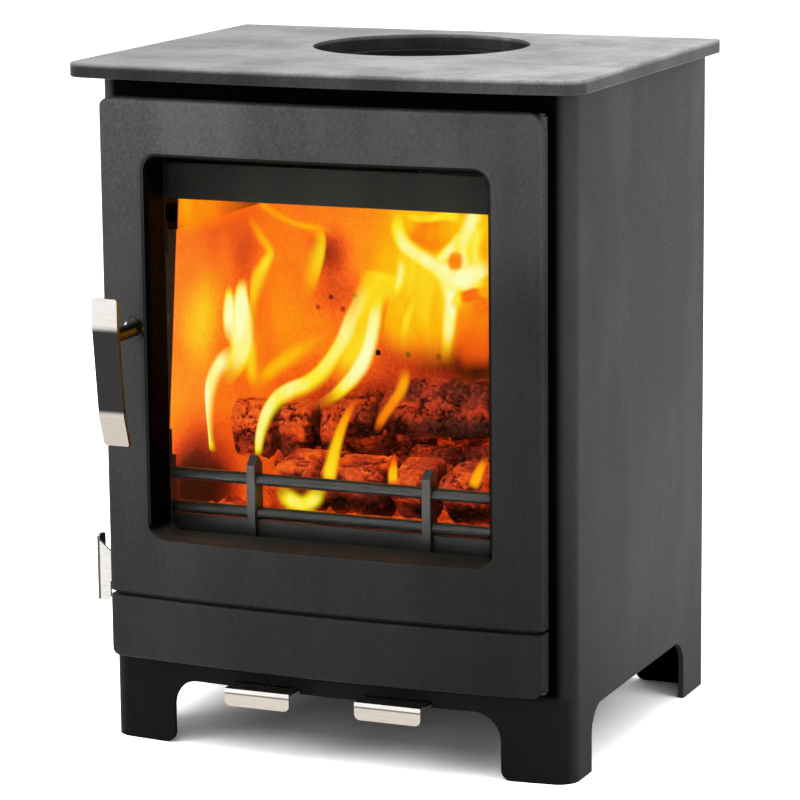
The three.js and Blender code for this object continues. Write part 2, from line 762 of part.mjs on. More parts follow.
const makeGuardPlate = () => {
  const low = grateBottom + fit;
  const plate = block(guardLeft, guardRight, guardY - guardPlateThickness / 2,
    guardY + guardPlateThickness / 2, low, guardPlateTop);
  const foot = block(guardLeft, guardRight, guardFront, guardBack, low, low + guardLipThickness);
  let frame = plate.add(foot);
  [[guardLeft, guardLeft + guardEnd], [guardRight - guardEnd, guardRight]].forEach(([left, right]) => {
    frame = frame.add(block(left, right, guardFront, guardBack, low, guardEndTop));
  });
  const lip = finBottom - guardLipDrop;
  frame = frame.add(block(guardLeft, guardRight, guardFront, guardY, lip - guardLipThickness, lip));
  [upperBar, lowerBar].forEach((level) => {
    frame = frame.subtract(bar('x', barRadius + fit, guardLeft + barSeat, guardRight - barSeat,
      [guardY, level], 16));
  });
  return frame;
};

const makeGuardBar = (level) =>
  bar('x', barRadius, guardLeft + barSeat + fit, guardRight - barSeat - fit, [guardY, level], 16);

// ---------- ash pan ----------
const makeAshPan = () => {
  const half = panWidth / 2;
  const back = panFront + panDepth;
  const low = baseTop;
  return block(-half, half, panFront, back, low, low + panHeight)
    .subtract(block(-half + panWall, half - panWall, panFront + panWall, back - panWall,
      low + panWall, low + panHeight + over));
};

const makePanHandle = () => {
  const half = panHandleWidth / 2;
  const level = baseTop + panHeight * panHandleLevel;
  const out = panFront - panHandleReach;
  const grip = bar('x', panHandleRod, -half, half, [out, level], 10);
  const legs = [-half + panHandleRod, half - panHandleRod].map((x) =>
    bar('y', panHandleRod, out, panFront - fit, [x, level], 10));
  return joinAll([grip, ...legs]);
};

// ---------- door ----------
const doorRounds = { sides: doorRound, bottom: grooveRound, top: doorRound };
const lowerRounds = { sides: doorRound, bottom: doorRound, top: grooveRound };

// the flare round the window: part of its width, and part of its depth still to go
const flareCurve = [[0, 1], [0.08, 0.62], [0.3, 0.29], [0.6, 0.08], [1, 0]];
const cutterStep = 20; // points this close together follow the bow

const makeWindowCutter = () => {
  const level = (grow, offset, flat = null) => {
    const left = recessLeft - grow.side;
    const right = recessRight + grow.side;
    const low = recessBottom - grow.bottom;
    const high = recessTop + grow.side;
    const outline = rounded(left, right, low, high, windowCorner - windowFlare + grow.side).getPoints(5);
    const dense = [];
    outline.forEach((point, step) => {
      const next = outline[(step + 1) % outline.length];
      const parts = Math.max(1, Math.round(Math.abs(next.x - point.x) / cutterStep));
      for (let part = 0; part < parts; part += 1) {
        dense.push(point.clone().lerp(next, part / parts));
      }
    });
    return dense.map((point) => [point.x, flat === null ? bowY(point.x, offset) : flat, point.y]);
  };
  const flare = (part) => ({ side: windowFlare * part, bottom: sillFlare * part });
  const rings = [
    level(flare(0), 0, recessBack + over),
    ...flareCurve.map(([part, left]) => level(flare(part), doorStand - windowFlare * left)),
    level(flare(1), 0, bodyFront - doorStand - over),
  ];
  return skin(rings);
};

const makeLug = (low) => {
  const high = low + lugHeight;
  const tail = block(hingeX - lugReach, hingeX, bowY(hingeX, skirtDepth) - lugRoot, hingeY + lugRadius,
    low, high);
  return tail.add(bar('z', lugRadius, low, high, [hingeX, hingeY], 24));
};

const castLap = 1; // how far the casting's inner shapes run into its wall
const castInner = castWall - castLap;
const cutterFront = bodyFront - 2 * doorStand; // well in front of the door

const frameOutline = (grow, radius) => rounded(recessLeft - grow, recessRight + grow,
  recessBottom - grow, recessTop + grow, radius);

const makeDoor = () => {
  const back = doorStand - skirtDepth;
  const grooveLow = grooveHeight - grooveWidth / 2;
  const grooveHigh = grooveHeight + grooveWidth / 2;
  const upper = bowedPad(doorLeft, doorRight, grooveHigh, doorTop, doorStand, back, doorRounds);
  const lower = bowedPad(doorLeft, doorRight, doorBottom, grooveLow, doorStand, back, lowerRounds);
  const outline = push(rounded(doorLeft, doorRight, doorBottom, doorTop, doorCorner), -bodyHalf - over, 0);
  const web = bowedSlab(doorLeft + grooveDepth, doorRight - grooveDepth, doorStand - grooveDepth, back,
    grooveLow - castLap, grooveHigh + castLap);
  const hollow = bowedSlab(doorLeft + castWall, doorRight - castWall, doorStand - castWall, back - over,
    doorBottom + castWall, doorTop - castWall);
  const rib = bowedSlab(doorLeft + castInner, doorRight - castInner, doorStand - castInner, back,
    grooveLow - castWall / 2, grooveHigh + castWall / 2);
  const tunnel = push(frameOutline(recessWall, windowCorner), -bodyHalf, recessBack)
    .intersect(bowedSlab(doorLeft, doorRight, doorStand - castInner, 0, doorBottom, doorTop, recessBack));
  const seat = push(frameOutline(frameGrow, windowCorner), recessBack - seatThickness, recessBack);
  let casting = upper.add(lower).intersect(outline).add(web).subtract(hollow).add(rib).add(tunnel).add(seat);
  casting = casting.add(makeLug(upperLugBottom)).add(makeLug(lowerLugBottom));
  const boss = bar('y', collarRadius + bossWall, bowY(spindleX, doorStand - castInner), bowY(spindleX, back),
    [spindleX, spindleZ], 24);
  casting = casting.add(boss);
  const bores = [
    bar('y', spindleRadius + fit, cutterFront, 0, [spindleX, spindleZ], 24),
    bar('z', pinRadius + fit, doorBottom - over, lowerLugBottom + lugHeight - pinBore, [hingeX, hingeY], 20),
    bar('z', pinRadius + fit, upperLugBottom + pinBore, doorTop + over, [hingeX, hingeY], 20),
    bar('z', lugRadius + lugClear, doorBottom - over, lowerLugBottom, [hingeX, hingeY], 24),
    bar('z', lugRadius + lugClear, upperLugBottom + lugHeight, doorTop + over, [hingeX, hingeY], 24),
  ];
  return bores.reduce((whole, bore) => whole.subtract(bore), casting.subtract(makeWindowCutter()));
};

const glassEdges = {
  left: recessLeft - glassOverlap,
  right: recessRight + glassOverlap,
  low: recessBottom - glassOverlap,
  high: recessTop + glassOverlap,
};

const makeGlass = () =>
  block(glassEdges.left, glassEdges.right, glassFront, glassBack, glassEdges.low, glassEdges.high);

const makeGasket = () =>
  block(glassEdges.left, glassEdges.right, recessBack, glassFront, glassEdges.low, glassEdges.high)
    .subtract(push(frameOutline(0, windowCorner - windowFlare), recessBack - over, glassFront + over));

const windowMiddle = (recessBottom + recessTop) / 2;
const clipOffset = (recessTop - recessBottom) * clipSpread / 2;
const screwInset = (seatFlange + recessWall + glassOverlap) / 2;

const makeClip = (side, level) => {
  const edge = side < 0 ? glassEdges.left : glassEdges.right;
  const inner = edge - side * clipReach;
  const frame = side < 0 ? recessLeft - frameGrow : recessRight + frameGrow;
  const screwX = edge + side * (screwInset - glassOverlap);
  const [left, right] = [Math.min(inner, frame), Math.max(inner, frame)];
  const [low, high] = [level - clipLength / 2, level + clipLength / 2];
  const plate = block(left, right, glassBack, glassBack + clipThickness, low, high);
  const beside = edge + side * clipFootInset;
  const [footLeft, footRight] = [Math.min(beside, frame), Math.max(beside, frame)];
  const foot = block(footLeft, footRight, recessBack, glassBack + lap, low, high);
  return plate.add(foot)
    .subtract(bar('y', screwRadius + fit, recessBack - over, glassBack + over, [screwX, level], 12));
};

const makeClipScrew = (side, level) => {
  const edge = side < 0 ? glassEdges.left : glassEdges.right;
  const screwX = edge + side * (screwInset - glassOverlap);
  const seatFace = glassBack + clipThickness;
  return bar('y', screwRadius, recessBack, seatFace + lap, [screwX, level], 12)
    .add(bar('y', screwHead, seatFace, seatFace + screwHeadThickness, [screwX, level], 12));
};

const ropeRing = (grow) => rounded(doorLeft + ropeInsetLeft + grow, doorRight - ropeInsetRight - grow,
  doorBottom + ropeInsetBottom + grow, doorTop - ropeInsetTop - grow, ropeCorner - grow);

const makeRope = () => {
  const outer = push(ropeRing(0), cutterFront, 0, 5);
  const inner = push(ropeRing(ropeWidth), cutterFront - over, over, 5);
  const band = bowedSlab(doorLeft, doorRight, fit + ropeSquash, fit, doorBottom, doorTop);
  return outer.subtract(inner).intersect(band);
};

// rope channel: two low ribs inside the skirt that end on the rope
const makeRopeBed = () => {
  const band = bowedSlab(doorLeft + ropeRibInset, doorRight - ropeRibInset, doorStand - castInner,
    2 * fit + ropeSquash, doorBottom + ropeRibInset, doorTop - ropeRibInset);
  return push(ropeRing(-ropeRib), cutterFront, 0, 5)
    .subtract(push(ropeRing(ropeWidth + ropeRib), cutterFront - over, over, 5))
    .intersect(band);
};

// ---------- hinges ----------
const makeBracket = (low) => {
  const high = low + bracketThickness;
  const body = bar('z', lugRadius, low, high, [hingeX, hingeY], 24)
    .add(block(hingeX - lugRadius, hingeX + bracketTail, hingeY, bodyFront + bendRadius + bracketRoot,
      low, high));
  const keepOut = raise(polygon([
    ...planPoints(bodyHalf + fit, fit, bendRadius), [bodyHalf + fit, 0], [-bodyHalf - fit, 0],
  ]), low - over, high + over);
  return body.subtract(keepOut)
    .subtract(bar('z', pinRadius + fit, low - over, high + over, [hingeX, hingeY], 20));
};

const upperBracket = upperLugBottom + lugHeight + fit;
const lowerBracket = lowerLugBottom - bracketThickness - fit;

const makePin = (low, high, headAt) => bar('z', pinRadius, low, high, [hingeX, hingeY], 20)
  .add(bar('z', pinRadius + pinHeadLip, headAt, headAt + pinHead, [hingeX, hingeY], 20));

// ---------- handle ----------
const faceAtSpindle = bowY(spindleX, doorStand);
const stripBack = faceAtSpindle - handleStand;
const makeHandleStrip = () => {
  const top = spindleZ + handleTopAbove;
  const path = [
    [stripBack - handleThickness, top],
    [stripBack - handleThickness, top - handleTopLength],
    [stripBack - handleThickness + handleMiddleBack, top - handleTopLength - handleMiddleLength],
    [stripBack - handleThickness + handleMiddleBack + handleBottomBack,
      top - handleTopLength - handleMiddleLength - handleBottomLength],
  ];
  const side = polygon([...path, ...path.slice().reverse().map(([y, z]) => [y + handleThickness, z])]);
  const bottom = path[3][1];
  const outline = rounded(spindleX - handleWidth / 2, spindleX + handleWidth / 2, bottom, top, handleCorner);
  return sideways(side, spindleX - handleWidth / 2, spindleX + handleWidth / 2)
    .intersect(push(outline, stripBack - handleStand, stripBack + handleStand, 3));
};

const camFront = glassBack + camClear;
const camBack = camFront + camThickness;
const nutBack = camBack + nutThickness;
const makeSpindle = () => {
  const stripSlope = handleMiddleBack / handleMiddleLength;
  const start = stripBack + stripSlope * (handleTopAbove - handleTopLength + spindleRadius) + fit;
  const collar = faceAtSpindle - fit - collarThickness;
  const shoulder = recessBack - 2 * fit;
  return bar('y', spindleRadius, start, shoulder, [spindleX, spindleZ], 24)
    .add(bar('y', collarRadius, collar, faceAtSpindle - fit - collarGap, [spindleX, spindleZ], 24))
    .add(bar('y', camShaft, shoulder - castLap, nutBack + shaftEnd, [spindleX, spindleZ], 24));
};

const makeCam = () => bar('y', camRadius, camFront, camBack, [spindleX - camThrow, spindleZ], 32)
  .subtract(bar('y', camShaft + fit, camFront - over, camBack + over, [spindleX, spindleZ], 24));

const makeNut = () => bar('y', nutRadius, camBack + fit, nutBack, [spindleX, spindleZ], 6)
  .subtract(bar('y', camShaft + fit, camBack - over, nutBack + over, [spindleX, spindleZ], 24));

// ---------- rear flue cover ----------
const makeCover = () => bar('y', coverRadius, bodyBack, bodyBack + coverThickness, [0, outletHeight], 40);
const makeCoverBolt = (side) => {
  const x = side * (coverRadius - coverBoltInset);
  const face = bodyBack + coverThickness;
  return bar('y', coverBolt, face, face + coverBoltHead, [x, outletHeight], 6);
};

// ---------- fuel ----------
const logShape = { bend: 0.048, flat: 0.16, rough: 0.09, squat: 0.86 };

// a split log: rough ring sections along a slightly bent line
const makeLog = (start, end, thick, seed) => {
  const from = new THREE.Vector3(...start);
  const line = new THREE.Vector3(...end).sub(from);
  const along = line.clone().normalize();
  const side = new THREE.Vector3(0, 0, 1).cross(along).normalize();
  const up = along.clone().cross(side);
  const rough = (a, b) => Math.sin(a * 2.7 + seed * 1.9) * 0.5 + Math.sin(b * 4.1 + a * 1.3 + seed) * 0.5;
  return skin(spread(0, 1, 8).map((part, station) => {
    const middle = from.clone().addScaledVector(line, part);
    middle.addScaledVector(side, logShape.bend * thick * rough(station, seed));
    return spread(0, Math.PI * 2, 10).slice(0, -1).map((angle, corner) => {
      const flat = 1 - logShape.flat * Math.cos(3 * angle + seed);
      const radius = thick / 2 * flat * (1 + logShape.rough * rough(corner, station));
      const point = middle.clone()
        .addScaledVector(side, radius * Math.cos(angle))
        .addScaledVector(up, radius * logShape.squat * Math.sin(angle));
      return [point.x, point.y, point.z];
    });
  }));
};

// ends of each log, from the middle of the grate's top: across in half widths of the grate, back in
// half depths, up in log thicknesses; each log lies in the ones after it and in the embers
const fuel = {
  log_front: { start: [-0.664, -0.789, 1.177], end: [1.216, -0.832, 1.21], thick: 1, seed: 1 },
  log_left: { start: [-1.2, -0.305, 1.742], end: [-0.48, -0.116, 1.677], thick: 1.032, seed: 2 },
  log_right: { start: [0.016, 0.116, 1.968], end: [1.28, 0.179, 2.129], thick: 1, seed: 4 },
  log_back: { start: [-0.944, 0.642, 1.21], end: [0.896, 0.684, 1.258], thick: 1, seed: 6 },
  log_under_left: { start: [-0.928, -0.179, 1.097], end: [-0.144, -0.158, 1.065], thick: 0.677, seed: 3 },
  log_under_right: { start: [0.032, -0.011, 1.145], end: [0.976, 0.032, 1.21], thick: 0.806, seed: 5 },
};
const fuelPoint = ([across, back, up]) => [
  across * grateWidth / 2, grateCentreY + back * grateDepth / 2, grateTop + up * logThickness,
];

const makeEmberBed = () => {
  const half = grateWidth / 2 - bedSideGap;
  const front = grateCentreY - grateDepth / 2 + bedEndGap;
  const back = grateCentreY + grateDepth / 2 - bedEndGap;
  const low = grateTop + fit;
  const rise = logThickness - bedSunk - fit - bedEdge;
  return skin(spread(-half, half, 14).map((x, column) => {
    const round = Math.sqrt(1 - (x / half) ** 2 * 0.6);
    const hill = spread(front, back, 10).map((y, row) => {
      const dome = Math.sin(Math.PI * (0.4 + row) / 10.8) ** 0.22;
      const lump = 1 + 0.06 * Math.sin(column * 2.3 + row * 1.7);
      return [x, y, low + bedEdge + rise * round * dome * lump];
    });
    return [[x, front, low], ...hill, [x, back, low]];
  }));
};

// rest each piece of fuel on what is under it: cut it by the pieces above, grown by the gap
const makeFuel = () => {
  const pieces = {};
  let above = null;
  Object.entries(fuel).forEach(([name, { start, end, thick, seed }]) => {
    const [from, to, across] = [fuelPoint(start), fuelPoint(end), thick * logThickness];
    const log = makeLog(from, to, across, seed);
    const grown = makeLog(from, to, across + 3 * fit, seed);
    pieces[name] = above ? log.subtract(above) : log;
    above = above ? above.add(grown) : grown;
  });
  pieces.ember_bed = makeEmberBed().subtract(above);
  return pieces;
};

// ---------- finishes ----------
const finish = (color, roughness, metalness) =>
  () => new THREE.MeshStandardMaterial({ color, roughness, metalness });
const blackPaint = finish(0x2e2e2e, 0.6, 0.3);
const castBlack = finish(0x2a2a2a, 0.65, 0.3);
const bareIron = finish(0x1d1b1a, 0.75, 0.4);
const stainless = finish(0xc9c4bc, 0.3, 1);
const brick = finish(0xb9a78c, 0.95, 0);
const darkRope = finish(0x3a3835, 1, 0);
const clearGlass = finish(0xe8efe8, 0.05, 0);
const charredWood = finish(0x3a2418, 0.9, 0);
const hotEmber = finish(0xd2451c, 0.9, 0);
const zincSteel = finish(0x8d8d8b, 0.45, 0.9);

// ---------- assembly ----------
const stove = new THREE.Group();
const put = (name, solid, material) => {
  const mesh = new THREE.Mesh(toGeometry(solid), material());
  mesh.name = name;
  stove.add(mesh);
};

put('body_shell', makeBodyShell(), blackPaint);
put('back_panel', makeBackPanel(), blackPaint);
put('top_plate', makeTopPlate(), blackPaint);
put('firebox_roof', makeRoof(), bareIron);
put('base_plate', makeBase(), bareIron);
put('rear_flue_cover', makeCover(), castBlack);
put('rear_cover_bolt_left', makeCoverBolt(-1), zincSteel);
put('rear_cover_bolt_right', makeCoverBolt(1), zincSteel);

put('air_slide_left', makeSlide(-slideOffset), stainless);
put('air_slide_right', makeSlide(slideOffset), stainless);
const guideSide = slideOffset + slideWidth / 2 + 2 * fit + guideWidth / 2;
put('slide_guide_left', makeGuide(-guideSide, [1]), bareIron);
put('slide_guide_middle', makeGuide(0, [-1, 1]), bareIron);
put('slide_guide_right', makeGuide(guideSide, [-1]), bareIron);

put('firebox_shelf', makeShelf(), bareIron);
put('grate', makeGrate(), bareIron);
put('riddling_plate', makeRiddle(), bareIron);
put('riddling_lever', makeLever(), stainless);
put('fire_brick_left', makeSideBrick(-1), brick);
put('fire_brick_right', makeSideBrick(1), brick);
put('fire_brick_back', makeBackBrick(), brick);
put('baffle_plate', makeBaffle(), bareIron);
put('baffle_rail_left', makeBaffleRail(-1), bareIron);
put('baffle_rail_right', makeBaffleRail(1), bareIron);
put('airwash_deflector', makeDeflector(), bareIron);

put('log_guard_frame', makeGuardPlate(), castBlack);
put('log_guard_bar_upper', makeGuardBar(upperBar), castBlack);
put('log_guard_bar_lower', makeGuardBar(lowerBar), castBlack);
put('log_guard_fin_left', makeFin(guardLeft + finInset), castBlack);
put('log_guard_fin_right', makeFin(guardRight - finInset), castBlack);

put('ash_pan', makeAshPan(), bareIron);
put('ash_pan_handle', makePanHandle(), zincSteel);

put('door_casting', makeDoor().add(makeRopeBed()), castBlack);
put('door_glass', makeGlass(), clearGlass);
put('glass_gasket', makeGasket(), darkRope);
put('door_rope_seal', makeRope(), darkRope);
[['left', -1], ['right', 1]].forEach(([label, side]) => {
  [['lower', windowMiddle - clipOffset], ['upper', windowMiddle + clipOffset]].forEach(([place, level]) => {
    put(`glass_clip_${place}_${label}`, makeClip(side, level), bareIron);
    put(`clip_screw_${place}_${label}`, makeClipScrew(side, level), zincSteel);
  });
});

put('hinge_bracket_upper', makeBracket(upperBracket), castBlack);
put('hinge_bracket_lower', makeBracket(lowerBracket), castBlack);
const upperPinHead = upperBracket + bracketThickness;
put('hinge_pin_upper', makePin(upperLugBottom + pinSeat, upperPinHead + lap, upperPinHead), zincSteel);
put('hinge_pin_lower', makePin(lowerBracket - lap, lowerLugBottom + lugHeight - pinSeat,
  lowerBracket - pinHead), zincSteel);

put('handle_strip', makeHandleStrip(), stainless);
put('handle_spindle', makeSpindle(), stainless);
put('latch_cam', makeCam(), zincSteel);
put('spindle_nut', makeNut(), zincSteel);

Object.entries(makeFuel()).forEach(([name, solid]) => {
  put(name, solid, name === 'ember_bed' ? hotEmber : charredWood);
});

// the origin is the middle of the footprint of everything, on the floor
const reach = new THREE.Box3().setFromObject(stove);
const middle = reach.getCenter(new THREE.Vector3());
stove.position.set(-middle.x, -middle.y, 0);

export default stove;
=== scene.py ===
import json
import math
import random

import bmesh
import bpy
from mathutils import Matrix, Vector, noise


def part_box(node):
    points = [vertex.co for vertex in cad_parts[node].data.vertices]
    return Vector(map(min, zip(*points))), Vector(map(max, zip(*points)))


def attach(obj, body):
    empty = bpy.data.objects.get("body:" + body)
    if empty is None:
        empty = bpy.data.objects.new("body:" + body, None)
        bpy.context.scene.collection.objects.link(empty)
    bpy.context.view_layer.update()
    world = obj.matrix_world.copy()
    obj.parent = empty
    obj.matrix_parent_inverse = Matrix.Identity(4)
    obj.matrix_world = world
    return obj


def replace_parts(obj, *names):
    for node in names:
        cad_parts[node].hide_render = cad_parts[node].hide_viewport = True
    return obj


noise.seed_set(5)  # unseeded, noise_vector differs from run to run

# A steel box stove on four legs, burning, with its door, handle, slides and lever on the packed
# frame. Sizes are in millimetres from the stove's middle line, turned into metres by place().

print("stove: loading the frame")
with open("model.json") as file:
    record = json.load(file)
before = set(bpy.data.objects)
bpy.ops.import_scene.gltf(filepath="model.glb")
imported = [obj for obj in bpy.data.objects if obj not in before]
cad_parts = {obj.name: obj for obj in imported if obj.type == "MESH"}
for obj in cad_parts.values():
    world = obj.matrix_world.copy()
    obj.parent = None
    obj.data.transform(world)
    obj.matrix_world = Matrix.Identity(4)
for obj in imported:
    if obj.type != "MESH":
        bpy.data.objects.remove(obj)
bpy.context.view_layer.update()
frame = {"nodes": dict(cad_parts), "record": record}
parts = frame["nodes"]

shellLow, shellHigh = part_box("body_shell")
stoveMiddle = (shellLow[0] + shellHigh[0]) / 2
stoveBack = shellHigh[1]
backFromMiddle = 0.166  # back edge of the shell behind the middle line


def place(x, y, z):
    return Vector((stoveMiddle + x / 1000, stoveBack - backFromMiddle + y / 1000, z / 1000))


# the one coordinate in metres that lies a distance in mm along the axis named x, y or z
def placeAlong(axis, distance):
    return getattr(place(distance, distance, distance), axis)


# the camera at the photograph's angle: degrees, then mm, with the picture's side in pixels
print("stove: camera and light")
view = {"yaw": 23.19, "pitch": 11.283, "roll": -0.573, "lens": 164.87, "sensor": 36,
        "at": (1219.15, -2870.02, 899.85), "farthest": 60, "picture": 800}


def viewAxes():
    yaw = math.radians(view["yaw"])
    pitch = math.radians(view["pitch"])
    roll = math.radians(view["roll"])
    forward = Vector((-math.sin(yaw) * math.cos(pitch), math.cos(yaw) * math.cos(pitch),
                      -math.sin(pitch)))
    right = forward.cross(Vector((0, 0, 1))).normalized()
    up = right.cross(forward)
    across = right * math.cos(roll) + up * math.sin(roll)
    return across, up * math.cos(roll) - right * math.sin(roll), forward


viewAcross, viewRise, viewForward = viewAxes()
eye = place(*view["at"])


def makeCamera():
    data = bpy.data.cameras.new("front view")
    data.lens = view["lens"]
    data.sensor_width = view["sensor"]
    data.clip_end = view["farthest"]
    camera = bpy.data.objects.new("front view", data)
    turn = Matrix((viewAcross, viewRise, -viewForward)).transposed().to_4x4()
    camera.matrix_world = Matrix.Translation(eye) @ turn
    bpy.context.scene.collection.objects.link(camera)
    bpy.context.scene.camera = camera


makeCamera()


# the point that shows at u, v of the picture and lies at a distance in mm along x or y
def onPicture(u, v, distance, axis="y"):
    half = view["picture"] / 2
    line = (viewForward * (view["lens"] / view["sensor"] * view["picture"])
            + viewAcross * (u - half) - viewRise * (v - half))
    reach = (placeAlong(axis, distance) - getattr(eye, axis)) / getattr(line, axis)
    return eye + line * reach


# sets a socket to a value, or links it to the socket that gives the value
def feed(tree, socket, value):
    if isinstance(value, bpy.types.NodeSocket):
        tree.links.new(value, socket)
    elif isinstance(value, tuple) and socket.type == "RGBA":
        socket.default_value = (*value, 1.0)
    else:
        socket.default_value = value


def addNode(tree, kind, inputs=None, **settings):
    node = tree.nodes.new("ShaderNode" + kind)
    for setting, value in settings.items():
        setattr(node, setting, value)
    for label, value in (inputs or {}).items():
        feed(tree, node.inputs[label], value)
    return node


def makeGroup(name, inputs, outputs):
    tree = bpy.data.node_groups.new(name, "ShaderNodeTree")
    for label, value in inputs:
        socket = tree.interface.new_socket(label, in_out="INPUT", socket_type="NodeSocketFloat")
        socket.default_value = value
    for label, kind in outputs:
        tree.interface.new_socket(label, in_out="OUTPUT", socket_type=kind)
    return tree, tree.nodes.new("NodeGroupInput"), tree.nodes.new("NodeGroupOutput")


def addGroup(tree, group, **values):
    return addNode(tree, "Group", values, node_tree=group).outputs


def addNoise(tree, coords, scale, detail=4.0, rough=0.6, distort=0.0):
    return addNode(tree, "TexNoise", {"Vector": coords, "Scale": scale, "Detail": detail,
                                      "Roughness": rough, "Distortion": distort}).outputs["Fac"]


def addRange(tree, value, low, high, outLow=0.0, outHigh=1.0, smooth=False):
    return addNode(tree, "MapRange", {"Value": value, "From Min": low, "From Max": high,
                                      "To Min": outLow, "To Max": outHigh},
                   interpolation_type="SMOOTHSTEP" if smooth else "LINEAR").outputs["Result"]


def addMath(tree, kind, first, second=0.0):
    return addNode(tree, "Math", {0: first, 1: second}, operation=kind).outputs[0]


# a colour mix keeps its factor in socket 0 and its two colours in sockets 6 and 7
def addMix(tree, factor, first, second):
    return addNode(tree, "Mix", {0: factor, 6: first, 7: second}, data_type="RGBA").outputs[2]


def addSplit(tree, vector):
    return addNode(tree, "SeparateXYZ", {0: vector}).outputs


def addCoords(tree, kind="Object", stretch=None):
    coords = addNode(tree, "TexCoord").outputs[kind]
    if stretch is None:
        return coords
    return addNode(tree, "Mapping", {"Vector": coords, "Scale": stretch}).outputs["Vector"]


def addProduct(tree, values):
    product = values[0]
    for value in values[1:]:
        product = addMath(tree, "MULTIPLY", product, value)
    return product


# how far a face is turned along an axis, from 0 to 1 between two amounts of its normal
def addTurned(tree, axis, low, high):
    normal = addSplit(tree, addCoords(tree, "Normal"))
    return addRange(tree, addMath(tree, "ABSOLUTE", normal[axis]), low, high)


# 1 inside a box given by two corners in mm, easing to 0 over the soft distance
def addBoxMask(tree, coords, low, high, soft):
    masks = []
    margin = Vector((soft, soft, soft)) / 2000
    for corner, sign in ((place(*low), 1), (place(*high), -1)):
        node = addNode(tree, "MapRange", {"Vector": coords}, data_type="FLOAT_VECTOR",
                       interpolation_type="SMOOTHSTEP")
        start, end = (socket for socket in node.inputs
                      if socket.identifier in ("From_Min_FLOAT3", "From_Max_FLOAT3"))
        start.default_value = corner - sign * margin
        end.default_value = corner + sign * margin
        split = addSplit(tree, node.outputs["Vector"])
        masks += [split[axis] for axis in "XYZ"]
    return addProduct(tree, masks)


# strengths of the sky, and each lamp's side in m, its power and where it stands
studio = {
    "skyFill": 0.56,
    "skyShine": 0.95,
    "aim": (0, 0, 300),
    "lamps": {
        "overhead": (2.0, 20, (-300, -500, 2200)),
        "frontLeft": (1.6, 16, (-1900, -2100, 1500)),
        "rightSide": (1.6, 12, (2300, -500, 1300)),
    },
}


def makeLamp(name, size, power, at):
    data = bpy.data.lights.new(name, "AREA")
    data.shape = "SQUARE"
    data.size = size
    data.energy = power
    lamp = bpy.data.objects.new(name, data)
    lamp.location = place(*at)
    toAim = place(*studio["aim"]) - lamp.location
    lamp.rotation_euler = toAim.to_track_quat("-Z", "Y").to_euler()
    bpy.context.scene.collection.objects.link(lamp)


# bright metal mirrors a stronger sky, and what is seen of the sky itself is white
def makeSky():
    world = bpy.data.worlds.new("studio sky")
    bpy.context.scene.world = world
    world.use_nodes = True
    tree = world.node_tree
    tree.nodes.clear()
    path = addNode(tree, "LightPath").outputs
    fill, shine = studio["skyFill"], studio["skyShine"]
    lit = addNode(tree, "Mix", {0: path["Is Glossy Ray"], 2: fill, 3: shine}).outputs[0]
    looking = addMath(tree, "MAXIMUM", path["Is Camera Ray"], path["Is Transmission Ray"])
    seen = addNode(tree, "Mix", {0: looking, 2: lit, 3: 1.0}).outputs[0]
    back = addNode(tree, "Background", {"Strength": seen}).outputs[0]
    addNode(tree, "OutputWorld", {0: back})


for lampName, lamp in studio["lamps"].items():
    makeLamp(lampName, *lamp)
makeSky()
bpy.context.scene.view_settings.view_transform = "Standard"

print("stove: finishes")


def newFinish(name, constants):
    material = bpy.data.materials.new(name)
    material.use_nodes = True
    shader = material.node_tree.nodes["Principled BSDF"]
    for label, value in constants.items():
        feed(material.node_tree, shader.inputs[label], value)
    return material, material.node_tree, shader


def addBump(tree, shader, height, strength, distance):
    bump = addNode(tree, "Bump", {"Strength": strength, "Distance": distance, "Height": height})
    tree.links.new(bump.outputs["Normal"], shader.inputs["Normal"])


# fine speckle of heat-resistant paint: a tight grain and a wider unevenness
def makePaintGrain():
    tree, given, out = makeGroup("paint grain", [("Grain", 900.0), ("Blotch", 9.0)],
                                 [("Height", "NodeSocketFloat"), ("Tone", "NodeSocketFloat")])
    fine = addNoise(tree, addCoords(tree), given.outputs["Grain"], 2.0, 0.5)
    wide = addNoise(tree, addCoords(tree, stretch=(1, 1, 0.4)), given.outputs["Blotch"], 4.0, 0.62)
    patchy = addRange(tree, wide, 0.38, 0.62, 0.0, 0.5)
    speck = addRange(tree, fine, 0.3, 0.75, 0.0, 0.5)
    tree.links.new(fine, out.inputs["Height"])
    tree.links.new(addMath(tree, "ADD", patchy, speck), out.inputs["Tone"])
    return tree


paintGrain = makePaintGrain()
paintSpread = 0.06  # how far the paint's roughness strays either way


